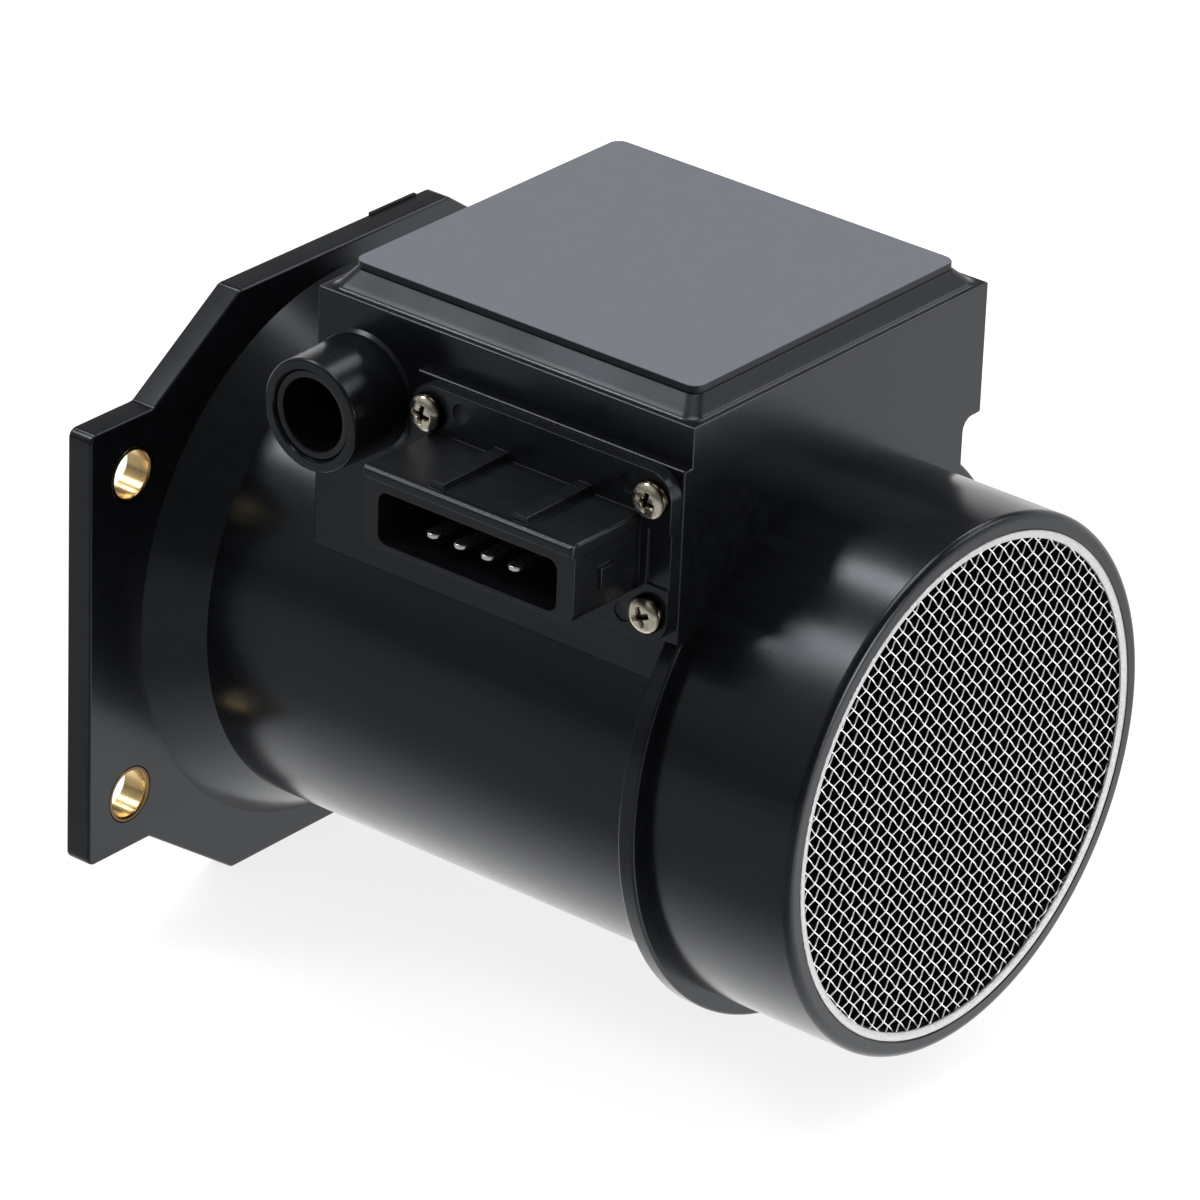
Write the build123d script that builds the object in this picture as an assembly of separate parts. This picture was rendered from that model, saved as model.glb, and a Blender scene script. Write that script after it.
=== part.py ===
from build123d import *
import os
from math import cos, radians, sin, sqrt

# Mass airflow sensor. Millimetres. X runs along the duct from the flange's rear face
# to the hose end, -Y is the connector side and +Z is up through the electronics box.

# Shared clearances, small radii and how far a cut or a joined part runs past a face
fit_gap = 0.05
slip_gap = 0.2
edge_round = 0.5
overrun = 1.0

# Duct, outside
duct_r = 40.2
duct_length = 127.0
flare_rise = 5.6
flare_end_x = 13.0
rib_x = 97.4
rib_thick = 3.0
rib_rise = 5.0
collar_rise = 2.3
collar_round = 1.3

# Duct, inside
duct_wall = 3.0
mouth_flare = 2.3
mouth_depth = 5.0
collar_taper_x = 92.0
collar_taper_length = 8.0

# Flange
flange_thick = 4.74
flange_wing = 11.5
flange_shelf = 3.7
tab_half_height = 36.4
tab_width = 13.9
flat_half_width = 24.2
flange_corner = 1.5
bolt_inset_y = 9.15
bolt_inset_z = 9.27
bush_outer_r = 4.65
bush_bore_r = 3.75
lip_start_y = 10.5
lip_length = 10.6
lip_height = 0.3
lip_thick = 0.6

# Screen and its ring, inside the hose collar
collar_wall = 2.8
seat_width = 1.5
ring_width = 1.3
screen_seat_depth = 1.1
screen_thick = 0.5
wire_turn = 42.3
wire_pitch = 6.88
cross_turn = 127.9
cross_pitch = 6.735
gap_width = 3.7
ridge_width = 0.9
ridge_height = 0.15

# Electronics box, its heights measured from the duct's skin
box_x = 29.4
box_front_tuck = 5.2
box_back_tuck = 5.5
rim_rise = 21.5
step_drop = 21.3
step_depth = 4.1
step_round = 2.0
crown_rise = 2.7
crown_inset_x = 3.05
crown_inset_y = 4.05
crown_ledge = 1.0
crown_corner = 2.3
cover_thick = 1.3
cover_corner = 2.0
cover_seat = 2.2
tongue_depth = 2.0
sealant_thick = 0.3
pocket_corner = 1.2
pocket_sink = 7.2
pocket_low_rise = 3.8
pocket_back_wall = 4.0

# Connector pad on the front wall
pad_drop = 6.25
pad_height = 27.85
pad_proud = 1.8
pad_margin = 1.0

# Stub tube for the mixture trimmer
stub_inset = 9.1
stub_drop = 14.2
stub_r = 8.9
stub_base_r = 9.2
stub_length = 12.0
sleeve_r = 7.0
sleeve_end = 10.0
sleeve_recess = 0.6
stub_bore_r = 5.7
stub_depth = 15.5
plug_thick = 2.0
trimmer_hole_r = 2.0
trimmer_r = 3.0
trimmer_length = 5.8
trimmer_pin = 0.8

# Connector plate and shroud, placed from the pad and from each other
plate_inset = 0.2
plate_rise = 0.5
plate_length = 48.9
plate_height = 27.1
plate_thick = 2.5
plate_corner = 4.0
land_drop = 0.4
land_margin = 9.2
shroud_inset = 4.4
shroud_rise = 7.4
shroud_length = 39.3
shroud_height = 12.7
shroud_depth = 15.0
lip_bar = 2.0
lip_proud = 0.9
lip_round = 0.7
socket_inset = 2.6
socket_rise = 0.9
socket_length = 33.5
socket_height = 8.2
socket_depth = 14.0
socket_round = 1.6
key_width = 2.7
key_height = 1.2
key_inset = (11.7, 27.3)
key_setback = 0.4
nub_reach = 0.8
nub_setback = 5.5
nub_length = 3.4
nub_rise = 3.7
nub_height = 3.5
panel_depth = 0.25
panel_side = 1.6
panel_low = 0.8
panel_high = 2.4
gasket_width = 1.4
gasket_thick = 1.2
gasket_inset = 1.6
gasket_round = 2.0
spigot_length = 24.0
spigot_height = 5.0
ejector_r = 1.5
ejector_depth = 0.25
ejector_marks = ((40.8, 3.2), (41.05, 23.8), (9.55, 24.35))

# Screws of the connector plate, and the shape of a pan head as shares of its own size
screw_inset_x = (3.5, 3.4)
screw_inset_z = (4.6, 4.2)
screw_head_r = 3.0
screw_head_height = 2.0
screw_r = 1.5
screw_length = 8.0
recess_length = 3.6
recess_width = 0.9
recess_depth = 1.1
head_side = 0.45
head_shoulder = (0.82, 0.8)
head_flat = 0.45

# Terminals
terminal_count = 4
terminal_pitch = 5.1
terminal_inset = 19.5
terminal_rise = 3.8
terminal_width = 2.3
terminal_thick = 0.8
terminal_setback = 0.7
leg_gap = 1.4
pin_width = 1.0

# Board and what holds it
board_rise = 8.8
board_thick = 1.6
board_gap = 0.35
notch_length = 10.5
notch_depth = 7.6
board_boss_r = 3.2
boss_inset_x = 5.8
boss_inset_front = 13.2
boss_inset_back = 4.45
small_screw_r = 1.25
small_head_r = 2.4
small_head_height = 1.5
small_screw_length = 6.0
spreader_lead = 18.0
spreader_length = 38.0
spreader_y = -12.0
spreader_width = 32.0
spreader_thick = 2.0
pin_proud = 1.0

# Parts on the board, placed from the strut's centre line
chip_x = 3.0
chip_y = 8.0
chip_length = 12.0
chip_width = 7.0
chip_height = 2.2
chip_lift = 0.1
chip_legs = 8
chip_leg_width = 0.5
chip_leg_reach = 1.0
chip_leg_thick = 0.35
transistor_x = -19.0
transistor_y = 6.0
transistor_length = 10.0
transistor_width = 9.0
transistor_height = 3.2
transistor_tab = 3.0
transistor_tab_thick = 1.2
transistor_legs = 3
transistor_leg_pitch = 3.0
transistor_leg_width = 1.2
transistor_leg_reach = 3.5
transistor_leg_thick = 0.6
small_part_length = 3.2
small_part_width = 1.6
capacitor_x = 3.0
capacitor_y = 19.0
capacitor_pitch = 4.5
capacitor_height = 1.3
resistor_x = -5.0
resistor_y = (-12.0, -17.0)
resistor_pitch = 5.0
resistor_height = 0.6
filter_x = 23.0
filter_y = (2.0, 12.0)
filter_r = 3.5
filter_height = 7.0

# Sensing strut
sensor_x = 63.0
holder_length = 27.0
holder_width = 16.0
holder_thick = 2.0
holder_rise = 3.0
holder_screw_reach = 10.2
holder_screw_floor = 1.2
plug_r = 7.5
seal_groove_depth = 1.4
seal_wire_r = 0.71
seal_clear = 0.01
strut_chord = 13.6
strut_width = 5.0
tube_r = 12.5
tube_wall = 1.9
tube_length = 26.0
tube_round = 0.9
prong_r = 0.5
prong_spread = 3.0
prong_cover = 0.63
element_x = (-5.0, 5.0)
element_z = (-1.0, 1.5)
element_r = 0.7
element_length = 3.4
element_wire_r = 0.2
lead_count = 4
lead_pitch = 2.54
lead_r = 0.4

# Values worked out from the sizes above: duct, flange and guard
bore_r = duct_r - duct_wall
flare_r = duct_r + flare_rise
rib_r = duct_r + rib_rise
rib_end_x = rib_x + rib_thick
collar_r = duct_r + collar_rise
screen_seat_r = collar_r - collar_wall
collar_bore_r = screen_seat_r - seat_width
ring_inner_r = screen_seat_r - ring_width
screen_x = duct_length - screen_seat_depth
ring_x = screen_x + screen_thick
flange_half_width = flare_r + flange_wing
flange_half_height = flare_r + flange_shelf
bolt_y = flange_half_width - bolt_inset_y
bolt_z = tab_half_height - bolt_inset_z

# The box, its hollow and the board's level
box_end_x = rib_end_x
box_length = box_end_x - box_x
box_front_y = box_front_tuck - duct_r
box_back_y = duct_r - box_back_tuck
rim_z = duct_r + rim_rise
step_z = rim_z - step_drop
crown_z = rim_z + crown_rise
crown_x = box_x + crown_inset_x
crown_end_x = box_end_x - crown_inset_x
crown_front_y = box_front_y + crown_inset_y
crown_back_y = box_back_y - crown_inset_y
pocket_x = crown_x + cover_seat
pocket_end_x = crown_end_x - cover_seat
pocket_front_y = crown_front_y + cover_seat
pocket_back_y = crown_back_y - cover_seat
pocket_low_back_y = box_back_y - step_depth - pocket_back_wall
pocket_floor_z = duct_r - pocket_sink
pocket_low_z = duct_r + pocket_low_rise
board_low_z = duct_r + board_rise
board_top_z = board_low_z + board_thick
holder_seat_z = duct_r + holder_rise

# The pad, the connector, its screws and terminals, and the stub
pad_y = box_front_y - pad_proud
pad_high_z = rim_z - pad_drop
pad_low_z = pad_high_z - pad_height
plate_end_x = box_end_x - plate_inset
plate_x = plate_end_x - plate_length
plate_low_z = pad_low_z + plate_rise
plate_high_z = plate_low_z + plate_height
plate_face_y = pad_y - plate_thick
pad_x = plate_x - pad_margin
shroud_x = plate_x + shroud_inset
shroud_end_x = shroud_x + shroud_length
shroud_low_z = plate_low_z + shroud_rise
shroud_high_z = shroud_low_z + shroud_height
shroud_end_y = plate_face_y - shroud_depth
socket_x = shroud_x + socket_inset
socket_low_z = shroud_low_z + socket_rise
socket_floor_y = shroud_end_y + socket_depth
screw_x = (plate_x + screw_inset_x[0], plate_end_x - screw_inset_x[1])
screw_z = (plate_low_z + screw_inset_z[0], plate_high_z - screw_inset_z[1])
terminal_mid_x = shroud_x + terminal_inset
terminal_z = socket_low_z + terminal_rise
terminal_tip_y = shroud_end_y + terminal_setback
terminal_x = [
    terminal_mid_x + (i - (terminal_count - 1) / 2) * terminal_pitch for i in range(terminal_count)
]
leg_y = pocket_front_y + leg_gap
spigot_x = terminal_mid_x - spigot_length / 2
spigot_low_z = terminal_z - spigot_height / 2
stub_x = box_x + stub_inset
stub_z = rim_z - stub_drop
stub_end_y = box_front_y - stub_length
boss_x = (pocket_x + boss_inset_x, pocket_end_x - boss_inset_x)
boss_y = (pocket_front_y + boss_inset_front, pocket_back_y - boss_inset_back)


def block(x0, x1, y0, y1, z0, z1):
    """A plain block between two corners."""
    return Pos(x0, y0, z0) * Box(x1 - x0, y1 - y0, z1 - z0, align=(Align.MIN, Align.MIN, Align.MIN))


def rod(axis, r, start, end, a, b):
    """A round rod along an axis; a and b place it in the other two directions."""
    if axis == "X":
        place = Pos(start, a, b) * Rot(0, 90, 0)
    elif axis == "Y":
        place = Pos(a, start, b) * Rot(-90, 0, 0)
    else:
        place = Pos(a, b, start)
    return place * Cylinder(r, end - start, align=(Align.CENTER, Align.CENTER, Align.MIN))


def slab(x0, x1, y0, y1, z0, z1, corner):
    """A block with rounded upright corners."""
    outline = RectangleRounded(x1 - x0, y1 - y0, corner)
    return extrude(Pos((x0 + x1) / 2, (y0 + y1) / 2, z0) * outline, z1 - z0)


def front_slab(x0, x1, z0, z1, y_back, y_front, corner):
    """A block with rounded corners seen from the connector side."""
    outline = Pos((x0 + x1) / 2, (z0 + z1) / 2) * RectangleRounded(x1 - x0, z1 - z0, corner)
    return extrude(Plane.XZ.offset(-y_back) * outline, y_back - y_front, dir=(0, -overrun, 0))


def turned(points, rounds):
    """A body turned about the duct's axis from (x, radius) points; rounds pairs a point with its radius."""
    outline = Polygon(*points, align=None)
    for (x, r), radius in rounds:
        corner = outline.vertices().sort_by_distance((x, r, 0))[0]
        outline = fillet(corner, radius)
    return revolve(Plane.XZ * outline, Axis.X)


def pan_screw(head_r, head_height, shank_r, length):
    """A cross-recess pan-head screw that points down, its head's underside at the origin."""
    shoulder_r = head_r * head_shoulder[0]
    shoulder_z = head_height * head_shoulder[1]
    outline = Polygon(
        (0, -length), (shank_r, -length), (shank_r, 0), (head_r, 0), (head_r, head_height * head_side),
        (shoulder_r, shoulder_z), (head_r * head_flat, head_height), (0, head_height), align=None,
    )
    screw = revolve(Plane.XZ * outline, Axis.Z)
    top = head_height + fit_gap
    low = head_height - recess_depth * head_height / screw_head_height
    half = recess_length / 2 * head_r / screw_head_r
    slot = recess_width / 2 * head_r / screw_head_r
    screw -= block(-half, half, -slot, slot, low, top)
    screw -= block(-slot, slot, -half, half, low, top)
    return screw


def flange():
    """The square-shouldered flange plate with its rounded edges."""
    shoulder_y = flange_half_width - tab_width
    corner = [
        (flange_half_width, tab_half_height),
        (shoulder_y, tab_half_height),
        (flat_half_width, flange_half_height),
    ]
    outline = corner + [(-y, z) for y, z in reversed(corner)]
    outline += [(-y, -z) for y, z in corner] + [(y, -z) for y, z in reversed(corner)]
    face = Polygon(*outline, align=None)
    face = fillet(face.vertices(), flange_corner)
    plate = extrude(Plane.YZ * face, flange_thick, dir=(1, 0, 0))
    plate = fillet(plate.faces().sort_by(Axis.X)[-1].edges(), edge_round)
    lip_z = flange_half_height
    plate += block(0, lip_thick, lip_start_y, lip_start_y + lip_length, lip_z - overrun, lip_z + lip_height)
    return plate


def duct_outside():
    """Flare, duct, rib and hose collar as one turned form."""
    points = [
        (overrun, 0), (overrun, flare_r), (flange_thick, flare_r), (flare_end_x, duct_r),
        (rib_x, duct_r), (rib_x, rib_r), (rib_end_x, rib_r), (rib_end_x, collar_r),
        (duct_length, collar_r), (duct_length, 0),
    ]
    rounds = [
        ((duct_length, collar_r), collar_round),
        ((rib_x, rib_r), edge_round),
    ]
    return turned(points, rounds)


def duct_inside():
    """The air path: bell mouth, bore, the wider collar bore and the screen's seat."""
    taper_end = collar_taper_x + collar_taper_length
    points = [
        (-overrun, 0), (-overrun, bore_r + mouth_flare), (0, bore_r + mouth_flare), (mouth_depth, bore_r),
        (collar_taper_x, bore_r), (taper_end, collar_bore_r), (screen_x, collar_bore_r),
        (screen_x, screen_seat_r), (duct_length + overrun, screen_seat_r), (duct_length + overrun, 0),
    ]
    return turned(points, [((mouth_depth, bore_r), mouth_depth)])


def box_outside():
    """The electronics box with its stepped back wall and chamfered crown."""
    low_back_y = box_back_y - step_depth
    outline = Polygon(
        (box_front_y, 0), (box_front_y, rim_z), (box_back_y, rim_z), (box_back_y, step_z),
        (low_back_y, step_z), (low_back_y, 0), align=None,
    )
    inner_corner = outline.vertices().sort_by_distance((low_back_y, step_z, 0))[0]
    outline = fillet(inner_corner, step_round)
    body = extrude(Plane.YZ.offset(box_x) * outline, box_length, dir=(1, 0, 0))
    middle = ((box_x + box_end_x) / 2, (box_front_y + box_back_y) / 2)
    depth = box_back_y - box_front_y
    base = RectangleRounded(box_length - 2 * crown_ledge, depth - 2 * crown_ledge, crown_corner)
    top = RectangleRounded(crown_end_x - crown_x, crown_back_y - crown_front_y, cover_corner)
    body += loft([Pos(*middle, rim_z) * base, Pos(*middle, crown_z) * top])
    return body


def pocket():
    """The hollow of the electronics box: deep beside the duct, open at the top."""
    upper = slab(
        pocket_x, pocket_end_x, pocket_front_y, pocket_back_y,
        pocket_low_z, crown_z + overrun, pocket_corner,
    )
    lower = slab(
        pocket_x, pocket_end_x, pocket_front_y, pocket_low_back_y,
        pocket_floor_z, pocket_low_z + fit_gap, pocket_corner,
    )
    return upper + lower - rod("X", duct_r, 0, duct_length, 0, 0)


def board_boss_places():
    """Where the board's four bosses and screws stand."""
    return [(x, y) for x in boss_x for y in boss_y]


def holder_outline(margin):
    """The strut's oblong seat, grown by a margin."""
    return SlotOverall(holder_length + 2 * margin, holder_width + 2 * margin)


def bosses():
    """Bosses under the board and the seat for the strut, standing on the duct."""
    parts = extrude(Pos(sensor_x, 0, duct_r - overrun) * holder_outline(0), holder_rise + overrun)
    for x, y in board_boss_places():
        parts += rod("Z", board_boss_r, pocket_floor_z - overrun, board_low_z, x, y)
    return parts


def stub_outside():
    """The stub tube on the front wall, slightly tapered."""
    root_y = pocket_front_y - cover_seat
    outline = Polygon(
        (0, -root_y), (stub_base_r, -root_y), (stub_base_r, -box_front_y), (stub_r, -stub_end_y),
        (0, -stub_end_y), align=None,
    )
    outline = fillet(outline.vertices().sort_by_distance((stub_r, -stub_end_y, 0))[0], edge_round)
    tube = revolve(Plane.XY * outline, Axis.Y)
    return Pos(stub_x, 0, stub_z) * Rot(180, 0, 0) * tube


def stub_inside():
    """The stepped bore of the stub: sleeve seat, tool bore and the trimmer's hole."""
    bore = rod("Y", sleeve_r, stub_end_y - overrun, stub_end_y + sleeve_end, stub_x, stub_z)
    bore += rod("Y", stub_bore_r, stub_end_y - overrun, stub_end_y + stub_depth, stub_x, stub_z)
    bore += rod("Y", trimmer_hole_r, stub_end_y, pocket_front_y + overrun, stub_x, stub_z)
    return bore


def pad():
    """The flat pad that the connector plate sits on."""
    return block(pad_x, box_end_x, pad_y, box_front_y + overrun, pad_low_z, pad_high_z)


def make_housing():
    """The one moulding that carries everything."""
    body = flange() + duct_outside() + box_outside() + pad() + stub_outside()
    body -= pocket()
    body += bosses()
    body -= duct_inside()
    body -= stub_inside()
    for y in (-bolt_y, bolt_y):
        for z in (-bolt_z, bolt_z):
            body -= rod("X", bush_outer_r, -overrun, flange_thick + overrun, y, z)
    body -= block(
        spigot_x - slip_gap, spigot_x + spigot_length + slip_gap, pad_y - overrun,
        pocket_front_y + overrun, spigot_low_z - slip_gap, spigot_low_z + spigot_height + slip_gap,
    )
    hole_end_y = plate_face_y + screw_length + slip_gap
    for x in screw_x:
        for z in screw_z:
            body -= rod("Y", screw_r + fit_gap, pad_y - overrun, hole_end_y, x, z)
    for x, y in board_boss_places():
        hole_low_z = board_top_z - small_screw_length - slip_gap
        body -= rod("Z", small_screw_r + fit_gap, hole_low_z, board_low_z + overrun, x, y)
    body -= rod("Z", plug_r + fit_gap, 0, holder_seat_z + overrun, sensor_x, 0)
    for side in (-overrun, 1):
        hole_low_z = bore_r + holder_screw_floor
        place_x = sensor_x + side * holder_screw_reach
        body -= rod("Z", small_screw_r + fit_gap, hole_low_z, holder_seat_z + overrun, place_x, 0)
    return body


def make_bushes():
    """The compression bushes in the flange."""
    parts = []
    for y in (-bolt_y, bolt_y):
        for z in (-bolt_z, bolt_z):
            bush = rod("X", bush_outer_r, 0, flange_thick, y, z)
            bush -= rod("X", bush_bore_r, -overrun, flange_thick + overrun, y, z)
            parts.append(bush)
    return parts


def make_cover():
    """The flat cover with the tongue that drops into the box's mouth."""
    plate = slab(
        crown_x, crown_end_x, crown_front_y, crown_back_y, crown_z, crown_z + cover_thick, cover_corner,
    )
    tongue = slab(
        pocket_x + slip_gap, pocket_end_x - slip_gap, pocket_front_y + slip_gap, pocket_back_y - slip_gap,
        crown_z - tongue_depth, crown_z + fit_gap, pocket_corner,
    )
    hollow = slab(
        pocket_x + cover_seat, pocket_end_x - cover_seat, pocket_front_y + cover_seat,
        pocket_back_y - cover_seat, crown_z - tongue_depth - overrun, crown_z, pocket_corner,
    )
    return plate + tongue - hollow - sealant_loop()


def sealant_loop():
    """The bead of sealant in a groove under the cover's edge."""
    near = cover_seat / 4
    far = 3 * near
    outer = slab(
        crown_x + near, crown_end_x - near, crown_front_y + near, crown_back_y - near,
        crown_z, crown_z + sealant_thick, pocket_corner + near,
    )
    inner = slab(
        crown_x + far, crown_end_x - far, crown_front_y + far, crown_back_y - far,
        crown_z - overrun, crown_z + overrun, pocket_corner,
    )
    return outer - inner


def gap_places():
    """Middles of the guard's gaps, on the slanted grid of its two wire directions."""
    along = (cos(radians(wire_turn)), sin(radians(wire_turn)))
    across = (cos(radians(cross_turn)), sin(radians(cross_turn)))
    skew = along[0] * across[1] - along[1] * across[0]
    reach = collar_bore_r - gap_width / sqrt(2)
    steps = int(collar_bore_r / min(wire_pitch, cross_pitch)) + 1
    places = []
    for i in range(-steps, steps + 1):
        for j in range(-steps, steps + 1):
            y = (i * wire_pitch * across[1] - j * cross_pitch * along[1]) / skew
            z = (j * cross_pitch * along[0] - i * wire_pitch * across[0]) / skew
            if sqrt(y * y + z * z) < reach:
                places.append((y, z))
    return places


def ridges(turn, pitch, x_low, x_high, reach):
    """Raised wires between the gaps, square to the direction given by turn."""
    count = int(reach / pitch)
    rows = Sketch()
    for i in range(-count, count):
        offset = (i + 0.5) * pitch
        edge = abs(offset) + ridge_width / 2
        length = 2 * sqrt(reach * reach - edge * edge)
        rows += Rot(0, 0, turn) * Pos(offset, 0) * Rectangle(ridge_width, length)
    return extrude(Plane.YZ.offset(x_low) * rows, x_high - x_low, dir=(1, 0, 0))


def make_screen():
    """The wire guard: one wall with slanted rows of gaps and raised wires between them."""
    disc = rod("X", screen_seat_r - slip_gap, screen_x, ring_x, 0, 0)
    gap = Rectangle(gap_width, gap_width, rotation=wire_turn)
    gaps = Sketch() + [Pos(y, z) * gap for y, z in gap_places()]
    disc -= extrude(Plane.YZ.offset(screen_x - overrun) * gaps, screen_thick + 2 * overrun, dir=(1, 0, 0))
    reach = collar_bore_r - slip_gap
    disc += ridges(wire_turn, wire_pitch, ring_x, ring_x + ridge_height, reach)
    disc += ridges(cross_turn, cross_pitch, screen_x - ridge_height, screen_x, reach)
    return disc


def make_ring():
    """The bright ring that holds the guard in its seat."""
    ring = rod("X", screen_seat_r, ring_x, duct_length, 0, 0)
    return ring - rod("X", ring_inner_r, ring_x - overrun, duct_length + overrun, 0, 0)


def make_sleeve():
    """The liner ring inside the stub's mouth."""
    start = stub_end_y + sleeve_recess
    end = stub_end_y + sleeve_end
    ring = rod("Y", sleeve_r, start, end, stub_x, stub_z)
    return ring - rod("Y", stub_bore_r, start - overrun, end + overrun, stub_x, stub_z)


def make_stub_plug():
    """The plug that seals the trimmer at the bottom of the stub."""
    end = stub_end_y + stub_depth
    return rod("Y", stub_bore_r - fit_gap, end - plug_thick, end, stub_x, stub_z)


def make_trimmer():
    """The sealed trimmer behind the stub, with its three pins up to the board's level."""
    front_y = pocket_front_y + pocket_corner
    back_y = front_y + trimmer_length
    pot = rod("Y", trimmer_r, front_y, back_y, stub_x, stub_z)
    pot += rod("Y", trimmer_r - pocket_corner / 2, pocket_front_y, front_y, stub_x, stub_z)
    pot += rod("Y", trimmer_hole_r - fit_gap, stub_end_y + stub_depth, front_y, stub_x, stub_z)
    end_y = pocket_front_y + board_gap + notch_depth + 2 * trimmer_pin
    for i in (-overrun, 0, 1):
        x = stub_x + i * lead_pitch
        pot += block(x, x + trimmer_pin, back_y - overrun, end_y, stub_z - trimmer_pin, stub_z)
        pot += block(x, x + trimmer_pin, end_y - trimmer_pin, end_y, stub_z - trimmer_pin, board_low_z)
    return pot


def terminal_profile(grow):
    """One terminal's blade, from its tip to the inner bend, grown all round by a margin."""
    half = terminal_width / 2 + grow
    outline = RectangleRounded(2 * half, leg_y - terminal_tip_y, half - fit_gap)
    middle_y = (leg_y + terminal_tip_y) / 2
    low_z = terminal_z - terminal_thick / 2 - grow
    return extrude(Pos(0, middle_y, low_z) * outline, terminal_thick + 2 * overrun * grow)


def make_terminals():
    """Four blades, each with a leg that rises behind the wall and a pin through the board."""
    parts = []
    for x in terminal_x:
        blade = Pos(x, 0, 0) * terminal_profile(0)
        half = terminal_width / 2
        low_z = terminal_z - terminal_thick / 2
        back_y = leg_y + terminal_thick
        root_y = leg_y - 2 * terminal_thick
        blade += block(x - half, x + half, root_y, back_y, low_z, low_z + terminal_thick)
        blade += block(x - half, x + half, leg_y, back_y, low_z, board_low_z)
        blade += block(
            x - pin_width / 2, x + pin_width / 2, leg_y, back_y,
            board_low_z - overrun, board_top_z + pin_proud,
        )
        parts.append(blade)
    return parts


def shroud_outside():
    """The socket's shroud with its rounded top bar and the two key ribs."""
    body = block(
        shroud_x, shroud_end_x, shroud_end_y, plate_face_y + overrun, shroud_low_z, shroud_high_z
    )
    body = fillet(body.edges().filter_by(Axis.Y), edge_round)
    bar = block(
        shroud_x, shroud_end_x, shroud_end_y - lip_proud, shroud_end_y + overrun,
        shroud_high_z - lip_bar, shroud_high_z,
    )
    body += fillet(bar.faces().sort_by(Axis.Y)[0].edges(), lip_round)
    for inset in key_inset:
        start = shroud_x + inset
        body += block(
            start, start + key_width, shroud_end_y + key_setback, plate_face_y + overrun,
            shroud_high_z - overrun, shroud_high_z + key_height,
        )
    return body


def latch_side():
    """The shallow panel and the latch nub on the shroud's hose-side wall."""
    frame = block(
        shroud_end_x - panel_depth, shroud_end_x + overrun, shroud_end_y + panel_side, plate_face_y,
        shroud_low_z + panel_low, shroud_high_z - panel_high,
    )
    nub_y = shroud_end_y + nub_setback
    nub_z = shroud_low_z + nub_rise
    nub = block(
        shroud_end_x - overrun, shroud_end_x - panel_depth + nub_reach, nub_y, nub_y + nub_length,
        nub_z, nub_z + nub_height,
    )
    return frame, nub


def plate():
    """The screwed plate, lower between the screws at the hose side, with its ejector marks."""
    body = front_slab(
        plate_x, plate_end_x, plate_low_z, plate_high_z, pad_y, plate_face_y, plate_corner
    )
    body -= block(
        plate_end_x - plate_corner, plate_end_x + overrun, plate_face_y - overrun,
        plate_face_y + land_drop, plate_low_z + land_margin, plate_high_z - land_margin,
    )
    for x, z in ejector_marks:
        body -= rod(
            "Y", ejector_r, plate_face_y - overrun, plate_face_y + ejector_depth,
            plate_x + x, plate_low_z + z,
        )
    return body


def gasket():
    """The sealing loop behind the connector plate, between its screws."""
    start_x = plate_x + gasket_inset + 2 * screw_head_r
    end_x = plate_end_x - gasket_inset - 2 * screw_head_r
    low_z = plate_low_z + gasket_inset
    high_z = plate_high_z - gasket_inset
    outer = front_slab(start_x, end_x, low_z, high_z, pad_y, pad_y - gasket_thick, gasket_round)
    inner = front_slab(
        start_x + gasket_width, end_x - gasket_width, low_z + gasket_width, high_z - gasket_width,
        pad_y + overrun, pad_y - gasket_thick - overrun, gasket_round / 2,
    )
    return outer - inner


def make_connector():
    """The connector moulding: plate, shroud, socket hollow and the spigot through the wall."""
    body = plate() + shroud_outside()
    frame, nub = latch_side()
    body -= frame
    body += nub
    body -= front_slab(
        socket_x, socket_x + socket_length, socket_low_z, socket_low_z + socket_height,
        socket_floor_y, shroud_end_y - 2 * lip_proud, socket_round,
    )
    body += block(
        spigot_x, spigot_x + spigot_length, pad_y - overrun, pocket_front_y - slip_gap,
        spigot_low_z, spigot_low_z + spigot_height,
    )
    for x in terminal_x:
        body -= Pos(x, 0, 0) * terminal_profile(0)
    for x in screw_x:
        for z in screw_z:
            body -= rod("Y", screw_r + fit_gap, plate_face_y - overrun, pad_y + overrun, x, z)
    return body - gasket()


def make_plate_screws():
    """The four screws of the connector plate."""
    screw = pan_screw(screw_head_r, screw_head_height, screw_r, screw_length)
    turned_out = Rot(90, 0, 0) * screw
    return [Pos(x, plate_face_y, z) * turned_out for x in screw_x for z in screw_z]


def small_screw():
    """The screw used for the board and the strut."""
    return pan_screw(small_head_r, small_head_height, small_screw_r, small_screw_length)


def make_board_screws():
    """The screws that hold the board to its bosses."""
    return [Pos(x, y, board_top_z) * small_screw() for x, y in board_boss_places()]


def make_board():
    """The control board, notched round the trimmer, with its holes."""
    start_x = pocket_x + board_gap
    end_x = pocket_end_x - board_gap
    start_y = pocket_front_y + board_gap
    end_y = pocket_back_y - board_gap
    board = slab(start_x, end_x, start_y, end_y, board_low_z, board_top_z, pocket_corner)
    board -= block(
        start_x - overrun, start_x + notch_length, start_y - overrun, start_y + notch_depth,
        board_low_z - overrun, board_top_z + overrun,
    )
    for x, y in board_boss_places():
        board -= rod("Z", small_screw_r + slip_gap, board_low_z - overrun, board_top_z + overrun, x, y)
    half = pin_width / 2 + fit_gap
    for x in terminal_x:
        board -= block(
            x - half, x + half, leg_y - fit_gap, leg_y + terminal_thick + fit_gap,
            board_low_z - overrun, board_top_z + overrun,
        )
    for x, y in lead_places():
        board -= rod("Z", lead_r + fit_gap, board_low_z - overrun, board_top_z + overrun, x, y)
    return board


def lead_places():
    """Where the strut's four leads rise."""
    middle = (lead_count - 1) / 2
    return [(sensor_x + (i - middle) * lead_pitch, 0) for i in range(lead_count)]


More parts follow.
